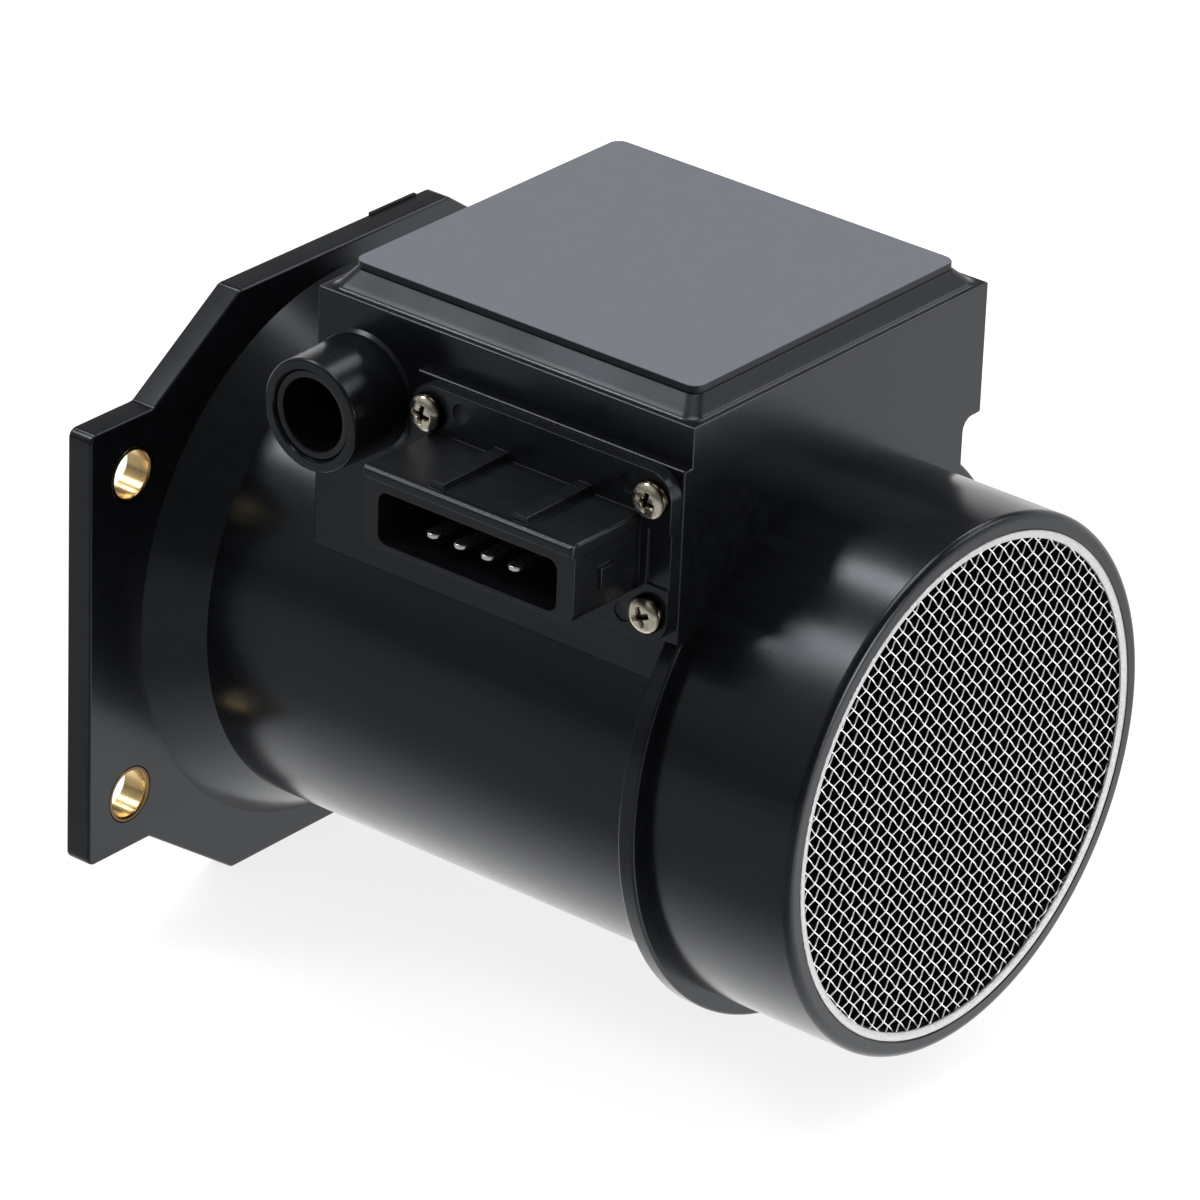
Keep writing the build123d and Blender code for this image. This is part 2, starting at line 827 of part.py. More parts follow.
def make_leads():
    """The four leads from the strut's head up through the board."""
    low_z = holder_seat_z + holder_thick
    return [rod("Z", lead_r, low_z, board_top_z + pin_proud, x, y) for x, y in lead_places()]


def make_spreader():
    """The heat spreader under the board, with a window over the strut."""
    start_x = sensor_x - spreader_lead
    end_x = start_x + spreader_length
    end_y = spreader_y + spreader_width
    low_z = board_low_z - spreader_thick
    body = slab(start_x, end_x, spreader_y, end_y, low_z, board_low_z, pocket_corner)
    window = Pos(sensor_x, 0, low_z - overrun) * holder_outline(slip_gap)
    return body - extrude(window, spreader_thick + 2 * overrun)


def on_board(x, y, length, width, height):
    """A block on the board, its corner placed from the strut's centre line."""
    start = sensor_x + x
    return block(start, start + length, y, y + width, board_top_z, board_top_z + height)


def make_chip():
    """The control chip with a row of legs along each long side."""
    chip = Pos(0, 0, chip_lift) * on_board(chip_x, chip_y, chip_length, chip_width, chip_height - chip_lift)
    pitch = chip_length / chip_legs
    legs_y = chip_y - chip_leg_reach
    legs_width = chip_width + 2 * chip_leg_reach
    for i in range(chip_legs):
        start = chip_x + (i + 0.5) * pitch - chip_leg_width / 2
        chip += on_board(start, legs_y, chip_leg_width, legs_width, chip_leg_thick)
    return chip


def make_transistor():
    """The power transistor that feeds the heated element."""
    body = on_board(transistor_x, transistor_y, transistor_length, transistor_width, transistor_height)
    tab_y = transistor_y + transistor_width
    body += on_board(transistor_x, tab_y, transistor_length, transistor_tab, transistor_tab_thick)
    legs_span = (transistor_legs - 1) * transistor_leg_pitch + transistor_leg_width
    first = transistor_x + (transistor_length - legs_span) / 2
    for i in range(transistor_legs):
        body += on_board(
            first + i * transistor_leg_pitch, transistor_y - transistor_leg_reach,
            transistor_leg_width, transistor_leg_reach, transistor_leg_thick,
        )
    return body


def make_capacitors():
    """The chip capacitors beside the control chip."""
    starts = [capacitor_x + i * capacitor_pitch for i in range(3)]
    return [
        on_board(x, capacitor_y, small_part_length, small_part_width, capacitor_height) for x in starts
    ]


def make_resistors():
    """The chip resistors, in two rows of four."""
    starts = [resistor_x + i * resistor_pitch for i in range(4)]
    return [
        on_board(x, y, small_part_length, small_part_width, resistor_height)
        for x in starts for y in resistor_y
    ]


def make_filter_capacitors():
    """The two round filter capacitors at the supply side."""
    top_z = board_top_z + filter_height
    return [rod("Z", filter_r, board_top_z, top_z, sensor_x + filter_x, y) for y in filter_y]


def prong_places():
    """Where the four prongs hang in the measuring tube."""
    return [(sensor_x + x, side * prong_spread) for x in element_x for side in (-overrun, 1)]


def prong_top(y):
    """Height of the blind end of a prong's hole in the tube's wall."""
    return sqrt(tube_r * tube_r - y * y) - prong_cover


def make_prongs():
    """The four prongs that carry the elements."""
    heights = [z for z in element_z for side in (-overrun, 1)]
    parts = []
    for (x, y), z in zip(prong_places(), heights):
        parts.append(rod("Z", prong_r, z - 2 * element_wire_r, prong_top(y), x, y))
    return parts


def make_holder():
    """The strut: head, sealed plug, blade and the measuring tube in one moulding."""
    head = extrude(Pos(sensor_x, 0, holder_seat_z) * holder_outline(0), holder_thick)
    body = head + rod("Z", plug_r, bore_r, holder_seat_z + overrun, sensor_x, 0)
    blade = Pos(sensor_x, 0, 0) * Ellipse(strut_chord / 2, strut_width / 2)
    body += extrude(blade, bore_r + overrun)
    tube_start = sensor_x - tube_length / 2
    tube_end = sensor_x + tube_length / 2
    inner = tube_r - tube_wall
    points = [(tube_start, inner), (tube_start, tube_r), (tube_end, tube_r), (tube_end, inner)]
    body += turned(points, [(point, tube_round) for point in points])
    body -= rod("X", inner, tube_start + tube_round, tube_end - tube_round, 0, 0)
    groove_z = (bore_r + holder_seat_z) / 2
    half = seal_wire_r + seal_clear
    groove = rod("Z", plug_r + overrun, groove_z - half, groove_z + half, sensor_x, 0)
    groove_r = plug_r - seal_groove_depth
    groove -= rod("Z", groove_r, groove_z - overrun, groove_z + overrun, sensor_x, 0)
    body -= groove
    for side in (-overrun, 1):
        place_x = sensor_x + side * holder_screw_reach
        body -= rod(
            "Z", small_screw_r + slip_gap, holder_seat_z - overrun,
            holder_seat_z + holder_thick + overrun, place_x, 0,
        )
    for x, y in prong_places():
        body -= rod("Z", prong_r, 0, prong_top(y), x, y)
    return body


def make_seal():
    """The sealing ring in the plug's groove."""
    groove_z = (bore_r + holder_seat_z) / 2
    middle_r = plug_r - seal_groove_depth + seal_wire_r + seal_clear
    return Pos(sensor_x, 0, groove_z) * Torus(middle_r, seal_wire_r)


def make_holder_screws():
    """The two screws of the strut's head."""
    top_z = holder_seat_z + holder_thick
    places = [sensor_x + side * holder_screw_reach for side in (-overrun, 1)]
    return [Pos(x, 0, top_z) * small_screw() for x in places]


def element(x_side, z):
    """A wound element with its two end wires, resting against its pair of prongs."""
    x = sensor_x + x_side - prong_r - element_wire_r
    reach = prong_spread + prong_r
    body = rod("Y", element_wire_r, -reach, reach, x, z)
    return body + rod("Y", element_r, -element_length / 2, element_length / 2, x, z)


def make_hot():
    """The heated element."""
    return element(element_x[0], element_z[0])


def make_cold():
    """The air temperature element."""
    return element(element_x[1], element_z[1])


nodes = {
    "main_housing": make_housing,
    "flange_bushes": make_bushes,
    "top_cover": make_cover,
    "cover_sealant": sealant_loop,
    "screen_mesh": make_screen,
    "screen_ring": make_ring,
    "stub_sleeve": make_sleeve,
    "stub_plug": make_stub_plug,
    "trimmer_pot": make_trimmer,
    "connector_body": make_connector,
    "connector_gasket": gasket,
    "plate_screws": make_plate_screws,
    "blade_terminals": make_terminals,
    "circuit_board": make_board,
    "board_screws": make_board_screws,
    "base_plate": make_spreader,
    "control_chip": make_chip,
    "power_transistor": make_transistor,
    "chip_capacitors": make_capacitors,
    "chip_resistors": make_resistors,
    "filter_capacitors": make_filter_capacitors,
    "sensor_leads": make_leads,
    "sensor_holder": make_holder,
    "holder_o_ring": make_seal,
    "holder_screws": make_holder_screws,
    "sensor_prongs": make_prongs,
    "hot_element": make_hot,
    "cold_element": make_cold,
}

os.makedirs("parts", exist_ok=True)
for name, make in nodes.items():
    shape = make()
    if isinstance(shape, list):
        shape = Compound(children=shape)
    export_step(shape, f"parts/{name}.step")
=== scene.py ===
import math
import bmesh
import bpy
from bpy.props import FloatProperty, FloatVectorProperty, IntProperty, PointerProperty
from functools import partial
from mathutils import Matrix, Vector


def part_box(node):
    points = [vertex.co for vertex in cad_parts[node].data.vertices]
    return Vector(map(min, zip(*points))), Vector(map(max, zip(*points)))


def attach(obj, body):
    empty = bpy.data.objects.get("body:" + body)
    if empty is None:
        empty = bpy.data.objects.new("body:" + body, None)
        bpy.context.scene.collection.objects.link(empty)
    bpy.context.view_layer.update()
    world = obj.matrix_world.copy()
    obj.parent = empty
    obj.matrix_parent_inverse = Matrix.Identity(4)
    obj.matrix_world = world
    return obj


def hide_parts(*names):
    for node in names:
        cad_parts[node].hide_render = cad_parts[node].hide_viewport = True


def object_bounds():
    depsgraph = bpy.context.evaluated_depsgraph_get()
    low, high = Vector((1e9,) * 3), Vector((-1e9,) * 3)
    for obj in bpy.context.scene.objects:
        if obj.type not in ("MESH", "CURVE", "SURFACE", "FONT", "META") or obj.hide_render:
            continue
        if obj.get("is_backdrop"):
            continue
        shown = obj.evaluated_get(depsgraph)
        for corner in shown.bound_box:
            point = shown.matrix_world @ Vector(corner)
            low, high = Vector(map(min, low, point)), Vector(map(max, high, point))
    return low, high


bl_info = {
    "name": "Mass airflow sensor finish",
    "version": (1, 0, 0),
    "blender": (4, 5, 0),
    "location": "3D View > Sidebar > Airflow sensor",
    "description": "Dresses the packed airflow sensor with its final meshes, materials and studio",
    "category": "Object",
}

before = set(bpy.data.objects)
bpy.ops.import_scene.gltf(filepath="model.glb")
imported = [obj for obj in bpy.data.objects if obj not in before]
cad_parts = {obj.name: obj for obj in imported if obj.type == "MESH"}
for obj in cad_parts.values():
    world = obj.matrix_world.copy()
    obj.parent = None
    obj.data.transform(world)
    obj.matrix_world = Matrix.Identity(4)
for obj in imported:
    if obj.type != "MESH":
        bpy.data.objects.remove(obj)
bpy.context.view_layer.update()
MM = 0.001
BODY = "root"
AXES = "XYZ"
WHITE = (1.0, 1.0, 1.0, 1.0)
COOL_GLOSS = (0.84, 0.91, 1.0, 1.0)
# Near-black used as painted shade on the sides of a moulding
PAINTED_SIDE_SHADE = (0.004, 0.004, 0.005, 1.0)


# Settings

def size(label, text, default):
    """A length in millimetres, or an angle where its text says degrees."""
    return FloatProperty(name=label, description=text, default=default, unit="NONE")


def sizes_of(label, text, *default):
    """Sizes that belong together."""
    return FloatVectorProperty(name=label, description=text, default=default, size=len(default))


def tint(label, text, default):
    """A linear colour."""
    return FloatVectorProperty(
        name=label, description=text, default=default, size=3, min=0, max=1, subtype="COLOR"
    )


class HousingSizes(bpy.types.PropertyGroup):
    """Sizes of the housing's outer and inner form."""
    round_steps: IntProperty(name="Round steps", description="Facets round the duct", default=224)
    flange_thick: size("Flange thickness", "Thickness of the flange plate", 4.74)
    flange_half_width: size("Flange half width", "Half width over the tabs", 57.3)
    flange_half_height: size("Flange half height", "Half height over the flats", 49.5)
    tab_half_height: size("Tab half height", "Half height of the side tabs", 36.4)
    tab_width: size("Tab width", "Width of the side tabs", 13.9)
    flat_half_width: size("Flat half width", "Half width of the top and bottom flats", 24.2)
    flange_corner: size("Flange corner", "Radius of the flange's corners", 1.5)
    flare_r: size("Flare radius", "Radius of the flare at the flange", 45.8)
    flare_end_x: size("Flare end", "Where the flare meets the duct", 13.0)
    duct_r: size("Duct radius", "Outer radius of the duct", 40.2)
    duct_wall: size("Duct wall", "Wall of the duct", 3.0)
    rib_x: size("Rib start", "Flange side of the rib", 97.4)
    rib_thick: size("Rib thickness", "Thickness of the rib", 3.0)
    rib_r: size("Rib radius", "Radius of the rib", 45.2)
    collar_r: size("Collar radius", "Radius of the hose collar", 42.5)
    collar_round: size("Collar rounding", "Rounding of the collar's open end", 1.3)
    duct_length: size("Duct length", "Length from the flange face to the hose end", 127.0)
    collar_bore_r: size("Collar bore radius", "Bore behind the wire guard", 38.2)
    collar_taper_x: size("Taper start", "Where the bore starts to widen", 92.0)
    collar_taper_length: size("Taper length", "Length over which the bore widens", 8.0)
    screen_seat_r: size("Seat radius", "Radius of the wire guard's seat", 39.7)
    screen_seat_depth: size("Seat depth", "Depth of the wire guard's seat", 1.1)
    mouth_flare: size("Mouth flare", "How much the flange mouth widens", 2.3)
    mouth_depth: size("Mouth depth", "Depth of the flange mouth's flare", 5.0)
    bolts: sizes_of("Bolt holes", "Half spacings across and upwards", 48.15, 27.13)
    bush_r: size("Bush radius", "Outer radius of the bushes", 4.65)
    bush_bore: size("Bush bore", "Radius of the bushes' bore", 3.75)
    box_x: size("Box start", "Flange side of the electronics box", 29.4)
    box_front_y: size("Box front", "Connector side of the box", -35.0)
    box_back_y: size("Box back", "Far side of the box", 34.7)
    rim_z: size("Rim height", "Height of the box's sharp rim", 61.7)
    step_z: size("Step height", "Height of the step in the back wall", 40.4)
    step_depth: size("Step depth", "Depth of the step in the back wall", 4.1)
    crown_ledge: size("Crown ledge", "Flat ledge round the crown's foot", 1.0)
    crown_inset: sizes_of("Crown inset", "Inset of its top at the ends and sides", 3.05, 4.05)
    crown_corner: size("Crown corner", "Corner radius at the crown's foot", 2.3)
    crown_rise: size("Crown rise", "Height of the crown", 2.7)
    cover_corner: size("Cover corner", "Corner radius of the cover", 2.0)
    cover_seat: size("Cover seat", "Width of the cover's seat", 2.2)
    pad: sizes_of("Pad", "Flange side, lower and upper edge of the pad", 50.3, 27.6, 55.45)
    pad_proud: size("Pad height", "How far the pad stands out", 1.8)
    stub: sizes_of("Stub place", "Place of the stub along the duct and upwards", 38.5, 47.5)
    stub_r: size("Stub radius", "Radius at the stub's mouth", 8.9)
    stub_base_r: size("Stub base radius", "Radius at the stub's root", 9.2)
    stub_end_y: size("Stub end", "Plane of the stub's mouth", -47.0)
    stub_bore_r: size("Stub bore radius", "Radius of the stub's bore", 5.7)
    stub_bore_depth: size("Stub bore depth", "Depth of the stub's bore", 15.5)
    sleeve_r: size("Sleeve radius", "Radius of the liner in the stub", 7.0)
    sleeve_depth: size("Sleeve depth", "Depth of the liner's seat in the stub", 10.0)
    pocket_z: size("Pocket floor", "Height of the floor that carries the board", 44.0)
    strut_x: size("Strut place", "Place of the strut's hole along the duct", 63.0)
    strut_hole_r: size("Strut hole radius", "Radius of the strut's hole", 7.55)

    @property
    def box_end_x(self):
        """Hose side of the box, level with the rib's."""
        return self.rib_x + self.rib_thick

    @property
    def seat_z(self):
        """Plane of the cover's seat."""
        return self.rim_z + self.crown_rise

    @property
    def pad_y(self):
        """Outer plane of the connector pad."""
        return self.box_front_y - self.pad_proud


class ConnectorSizes(bpy.types.PropertyGroup):
    """Sizes of the connector moulding, its screws and its blades."""
    plate: sizes_of("Plate", "Lower and upper corner, X and Z", 51.3, 28.1, 100.2, 55.2)
    plate_thick: size("Plate thickness", "Thickness of the plate", 2.5)
    plate_corner: size("Plate corner", "Corner radius of the plate", 4.0)
    land_drop: size("Land drop", "Depth of the low land at the hose side", 0.4)
    land_margin: size("Land margin", "Height of the screw lands", 9.2)
    shroud: sizes_of("Shroud", "Lower and upper corner, X and Z", 55.7, 35.5, 95.0, 48.2)
    shroud_end_y: size("Shroud mouth", "Plane of the shroud's mouth", -54.3)
    lip_bar: size("Lip height", "Height of the bar on the shroud's mouth", 2.0)
    lip_proud: size("Lip reach", "How far the bar stands out", 0.9)
    socket: sizes_of("Socket", "Lower and upper corner, X and Z", 58.3, 36.4, 91.8, 44.6)
    socket_floor_y: size("Socket floor", "Plane of the socket's floor", -40.3)
    keys: sizes_of("Key ribs", "From the shroud's flange side to both ribs", 11.7, 27.3)
    key_width: size("Key width", "Width of a key rib", 2.7)
    key_height: size("Key height", "Height of a key rib", 1.2)
    screw_head_r: size("Screw head radius", "Radius of a plate screw's head", 3.0)
    screw_head_height: size("Screw head height", "Height of a plate screw's head", 2.0)
    screw: sizes_of("First screw", "Place of the lowest screw, X and Z", 54.8, 32.7)
    screw_span: sizes_of("Screw span", "Spacing of the screws, X and Z", 42.0, 18.3)
    blade: sizes_of("First blade", "Place of its middle, X and Z", 67.55, 40.2)
    blade_pitch: size("Blade pitch", "Spacing of the blades", 5.1)
    blade_width: size("Blade width", "Width of a blade", 2.3)
    blade_thick: size("Blade thickness", "Thickness of a blade", 0.8)
    blade_tip_y: size("Blade tip", "Plane of the blades' tips", -53.6)


class GuardSizes(bpy.types.PropertyGroup):
    """Sizes of the woven wire guard."""
    wires_a: sizes_of("First wires", "Spacing, and direction across in degrees", 1.72, 42.3)
    wires_b: sizes_of("Second wires", "Spacing, and direction across in degrees", 2.245, 127.9)
    wire_r: size("Wire radius", "Radius of a wire", 0.112)
    crimp: size("Crimp", "How far a wire swings at each crossing", 0.175)
    reach: size("Reach", "Radius of the woven disc", 38.9)
    steps: IntProperty(name="Steps", description="Points along a wire for each crossing", default=4)
    sides: IntProperty(name="Sides", description="Facets round a wire", default=6)


class StudioSizes(bpy.types.PropertyGroup):
    """Camera and studio."""
    lens: size("Lens", "Focal length on a 36 mm sensor", 233.89)
    azimuth: size("Azimuth", "Camera azimuth in degrees", 38.43)
    elevation: size("Elevation", "Camera elevation in degrees", 26.73)
    roll: size("Roll", "Camera roll in degrees", 2.209)
    distance: size("Distance", "Camera distance", 1178.46)
    aim: sizes_of("Aim", "Aimed point along the duct and upwards", 60.0, 8.0)
    shift: sizes_of("Shift", "Aimed point moved to the camera's right and up", -2.564, -0.474)


class FinishColours(bpy.types.PropertyGroup):
    """Colours of the finishes."""
    moulding: tint("Moulding", "Black housing plastic", (0.0030, 0.0032, 0.0038))
    moulding_pale: tint("Moulding streaks", "Paler flow streaks", (0.0055, 0.0061, 0.0075))
    connector: tint("Connector", "Connector plastic", (0.0040, 0.0043, 0.0052))
    cover: tint("Cover", "Cover plastic", (0.118, 0.123, 0.142))
    brass: tint("Brass", "Bushes", (0.74, 0.54, 0.26))
    wire: tint("Wire", "Guard wires and ring", (0.95, 0.95, 0.94))
    nickel: tint("Nickel", "Screw heads", (0.72, 0.67, 0.55))
    tin: tint("Tin", "Terminal blades", (0.76, 0.76, 0.74))


# Meshes

def link(name, data):
    """A new object holding a mesh, a lamp or a lens."""
    obj = bpy.data.objects.new(name, data)
    bpy.context.scene.collection.objects.link(obj)
    return obj


def mesh_object(name, bm):
    """An object from a bmesh, with its faces outward."""
    bmesh.ops.recalc_face_normals(bm, faces=bm.faces)
    mesh = bpy.data.meshes.new(name)
    bm.to_mesh(mesh)
    bm.free()
    return link(name, mesh)


def skin(name, rings, capped=False):
    """A solid over rings of points; a ring of one point is a pole, and open ends meet."""
    bm = bmesh.new()
    rings = [[bm.verts.new([c * MM for c in point]) for point in ring] for ring in rings]
    pairs = list(zip(rings, rings[1:]))
    if capped:
        bm.faces.new(rings[0])
        bm.faces.new(list(reversed(rings[-1])))
    elif len(rings[0]) > 1 and len(rings[-1]) > 1:
        pairs.append((rings[-1], rings[0]))
    count = max(len(ring) for ring in rings)
    for a, b in pairs:
        for k in range(count):
            j = (k + 1) % count
            corners = [a[k % len(a)], a[j % len(a)], b[j % len(b)], b[k % len(b)]]
            unique = list(dict.fromkeys(corners))
            if len(unique) > 2:
                bm.faces.new(unique)
    return mesh_object(name, bm)


def bevelled(bm, edges, radius, segments):
    """Rounds some edges of a bmesh."""
    bmesh.ops.bevel(
        bm, geom=edges, offset=radius * MM, offset_type="OFFSET", segments=segments, profile=0.5,
        affect="EDGES", clamp_overlap=True,
    )


def block(name, low, high, radius=0.0, segments=3, axes=AXES):
    """A block between two corners, its edges along the named axes rounded."""
    bm = bmesh.new()
    bmesh.ops.create_cube(bm, size=1.0)
    for v in bm.verts:
        v.co = [(low[i] if v.co[i] < 0 else high[i]) * MM for i in range(3)]
    edges = []
    for edge in bm.edges:
        run = (edge.verts[1].co - edge.verts[0].co).normalized()
        if radius and any(abs(run[AXES.index(a)]) > 0.9 for a in axes):
            edges.append(edge)
    if edges:
        bevelled(bm, edges, radius, segments)
    return mesh_object(name, bm)


def prism(name, outline, axis, start, end):
    """A solid from an outline in the other two axes, run along one axis."""
    at = AXES.index(axis)
    rings = [[(*p[:at], place, *p[at:]) for p in outline] for place in (start, end)]
    return skin(name, rings, capped=True)


def rims_rounded(obj, radius, segments):
    """Rounds the edges of both ends of a prism along X."""
    bm = bmesh.new()
    bm.from_mesh(obj.data)
    rims = [e for e in bm.edges if abs(e.verts[0].co.x - e.verts[1].co.x) < 1e-7]
    bevelled(bm, rims, radius, segments)
    bm.to_mesh(obj.data)
    bm.free()
    return obj


def rounded_outline(points, radius, steps=5):
    """An outline with each corner replaced by an arc of one radius, or of its own radius."""
    radii = radius if isinstance(radius, list) else [radius] * len(points)
    outline = []
    for i, (point, r) in enumerate(zip(points, radii)):
        here = Vector(point)
        if r <= 0:
            outline.append(tuple(here))
            continue
        before = (Vector(points[i - 1]) - here).normalized()
        after = (Vector(points[(i + 1) % len(points)]) - here).normalized()
        half = before.angle(after) / 2
        reach = r / math.tan(half)
        centre = here + (before + after).normalized() * (r / math.sin(half))
        first = here + before * reach - centre
        sweep = first.angle_signed(here + after * reach - centre)
        for k in range(steps + 1):
            outline.append(tuple(centre + Matrix.Rotation(-sweep * k / steps, 2) @ first))
    return outline


def rounded_box(corners, radius, steps):
    """A rectangle with rounded corners, from its lower and upper corner."""
    left, low, right, high = corners
    return rounded_outline([(left, low), (right, low), (right, high), (left, high)], radius, steps)


def arc(centre, radius, start, end, steps):
    """Points on an arc, from one angle to another in degrees."""
    turns = [math.radians(start + (end - start) * k / steps) for k in range(steps + 1)]
    return [(centre[0] + radius * math.cos(t), centre[1] + radius * math.sin(t)) for t in turns]


def turned(name, profile, steps, place=(0, 0, 0), axis="X"):
    """A closed solid turned from (along, radius) points; the ends may lie on the axis."""
    main = AXES.index(axis)
    first, second = [i for i in range(3) if i != main]
    rings = []
    for along, radius in profile:
        ring = []
        for k in range(steps if radius else 1):
            turn = 2 * math.pi * k / steps
            point = list(place)
            point[main] += along
            point[first] += radius * math.cos(turn)
            point[second] += radius * math.sin(turn)
            ring.append(point)
        rings.append(ring)
    return skin(name, rings)


def rod(name, axis, radius, start, end, a, b, steps=48):
    """A round rod along an axis; a and b place it in the other two directions."""
    place = [a, b]
    place.insert(AXES.index(axis), 0)
    return turned(name, [(start, 0), (start, radius), (end, radius), (end, 0)], steps, place, axis)


def work_in(obj):
    """Replaces an object's mesh by its evaluated one and drops the modifiers."""
    bpy.context.view_layer.update()
    graph = bpy.context.evaluated_depsgraph_get()
    old = obj.data
    mesh = bpy.data.meshes.new_from_object(obj.evaluated_get(graph))
    obj.modifiers.clear()
    obj.data = mesh
    bpy.data.meshes.remove(old)
    return obj


def worked(obj, kind, **values):
    """Works one modifier into an object's mesh."""
    step = obj.modifiers.new("step", kind)
    for key, value in values.items():
        setattr(step, key, value)
    return work_in(obj)


def combine(base, adds=(), cuts=()):
    """Adds and cuts solids, then removes them."""
    for kind, others in (("UNION", adds), ("DIFFERENCE", cuts)):
        for other in others:
            worked(base, "BOOLEAN", operation=kind, solver="EXACT", object=other)
            bpy.data.objects.remove(other)
    return base


def smooth(obj, angle=32):
    """Smooth shading that keeps flats flat and creases sharp."""
    mesh = obj.data
    mesh.polygons.foreach_set("use_smooth", [True] * len(mesh.polygons))
    mesh.set_sharp_from_angle(angle=math.radians(angle))
    return worked(obj, "WEIGHTED_NORMAL", keep_sharp=True, weight=100)


def softened(obj, width, segments, angle):
    """Rounds every edge sharper than an angle."""
    return worked(
        obj, "BEVEL", width=width * MM, segments=segments, limit_method="ANGLE",
        angle_limit=math.radians(angle), use_clamp_overlap=False, miter_outer="MITER_ARC",
    )


def hand_in(obj, name, material, node):
    """Names a finished piece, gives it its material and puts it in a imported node's place."""
    obj.name = obj.data.name = name
    obj.data.materials.clear()
    obj.data.materials.append(finishes()[material])
    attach(obj, BODY)
    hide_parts(node)


# Nodes

def add_node(tree, kind, **values):
    """Adds a node; names with a leading in_ set an input, others a property."""
    node = tree.nodes.new(kind)
    for key, value in values.items():
        if key.startswith("in_"):
            label = key[3:].replace("_", " ")
            target = node.inputs[int(label) if label.isdigit() else label]
            if isinstance(value, bpy.types.NodeSocket):
                tree.links.new(value, target)
            else:
                target.default_value = value
        else:
            setattr(node, key, value)
    return node


def result(tree, kind, output=0, **values):
    """Adds a node and gives one of its outputs."""
    return add_node(tree, kind, **values).outputs[output]


def maths(tree, kind, *values, clamp=False):
    """One sum of up to three values."""
    inputs = {f"in_{i}": value for i, value in enumerate(values)}
    return result(tree, "ShaderNodeMath", operation=kind, use_clamp=clamp, **inputs)


def dot(tree, first, second):
    """How far one vector runs along another."""
    return result(
        tree, "ShaderNodeVectorMath", "Value", operation="DOT_PRODUCT", in_0=first, in_1=second
    )


def parts(tree, vector):
    """The three numbers of a vector."""
    return add_node(tree, "ShaderNodeSeparateXYZ", in_0=vector).outputs


def span(tree, value, start, end, low=0.0, high=1.0, kind="LINEAR"):
    """A value carried over from one range to another."""
    return result(
        tree, "ShaderNodeMapRange", interpolation_type=kind, in_Value=value, in_From_Min=start,
        in_From_Max=end, in_To_Min=low, in_To_Max=high,
    )


def ramp(tree, *limits):
    """A value carried over smoothly from one range to another."""
    return span(tree, *limits, kind="SMOOTHSTEP")


def mixed(tree, share, first, second):
    """Two colours mixed by a share."""
    return result(
        tree, "ShaderNodeMix", 2, data_type="RGBA", in_0=share, in_6=first, in_7=second
    )


def between(tree, share, first, second):
    """Two numbers mixed by a share."""
    return result(tree, "ShaderNodeMix", data_type="FLOAT", in_0=share, in_2=first, in_3=second)


def noise(tree, place, scale, detail, roughness=0.5):
    """A cloudy pattern."""
    return result(
        tree, "ShaderNodeTexNoise", "Fac", in_Vector=place, in_Scale=scale, in_Detail=detail,
        in_Roughness=roughness,
    )


def close_tree(tree, *results):
    """Links a tree's results to its outputs, in order."""
    for socket, target in zip(results, tree.nodes.new("NodeGroupOutput").inputs):
        tree.links.new(socket, target)
    return tree


# Finishes

def surface_group(name, **inputs):
    """A shader group; each input's default says whether it is a number, vector or colour."""
    tree = bpy.data.node_groups.new(name, "ShaderNodeTree")
    for label, default in inputs.items():
        kind = {3: "Vector", 4: "Color"}[len(default)] if isinstance(default, tuple) else "Float"
        tree.interface.new_socket(
            label.replace("_", " "), in_out="INPUT", socket_type="NodeSocket" + kind
        ).default_value = default
    for label, kind in (("Colour", "Color"), ("Roughness", "Float"), ("Height", "Float")):
        tree.interface.new_socket(label, in_out="OUTPUT", socket_type="NodeSocket" + kind)
    return tree, tree.nodes.new("NodeGroupInput").outputs


def moulded_surface():
    """Group: grain, flow streaks, faint scuffs, a moulding's matt top, and painted shade on its
    sides.
    """
    tree, given = surface_group(
        "moulded_surface", Colour=(0.01, 0.01, 0.01, 1), Pale_colour=(0.02, 0.02, 0.02, 1),
        Roughness=0.35, Roughness_spread=0.08, Grain_scale=2600.0, Grain_depth=0.1,
        Streak_stretch=(0.2, 1.0, 1.0), Scuffs=0.3, Matt_above=1.0, Matt_amount=0.0, Side_shade=0.0,
    )
    place = result(tree, "ShaderNodeTexCoord", "Object")
    stretched = result(
        tree, "ShaderNodeVectorMath", operation="MULTIPLY", in_0=place, in_1=given["Streak stretch"]
    )
    grain = noise(tree, place, given["Grain scale"], 3.0)
    streak = noise(tree, stretched, 420.0, 5.0, 0.6)
    cloud = noise(tree, place, 55.0, 4.0, 0.55)
    scuff = noise(tree, stretched, 1500.0, 2.0)
    worn = maths(tree, "MULTIPLY", span(tree, scuff, 0.66, 0.74), given["Scuffs"])
    paled = mixed(tree, span(tree, streak, 0.35, 0.7), given["Colour"], given["Pale colour"])
    # Painted shade: faces turned away from straight up are mixed towards near-black, in place of
    # the shade on a moulding's sides
    facing_up = parts(tree, result(tree, "ShaderNodeNewGeometry", "Normal"))[2]
    shaded = maths(tree, "MULTIPLY", span(tree, facing_up, 0.9, 0.4), given["Side shade"])
    colour = mixed(tree, shaded, paled, PAINTED_SIDE_SHADE)
    shift = span(tree, cloud, 0.3, 0.7, -1.0, 1.0)
    spread = maths(tree, "MULTIPLY", shift, given["Roughness spread"])
    rough = maths(tree, "ADD", given["Roughness"], spread)
    over = maths(tree, "SUBTRACT", parts(tree, place)[2], given["Matt above"])
    top = span(tree, over, -0.0006, 0.0002)
    rough = maths(tree, "MULTIPLY_ADD", top, given["Matt amount"], rough)
    rough = maths(tree, "MULTIPLY_ADD", worn, 0.12, rough, clamp=True)
    return close_tree(tree, colour, rough, maths(tree, "MULTIPLY", grain, given["Grain depth"]))


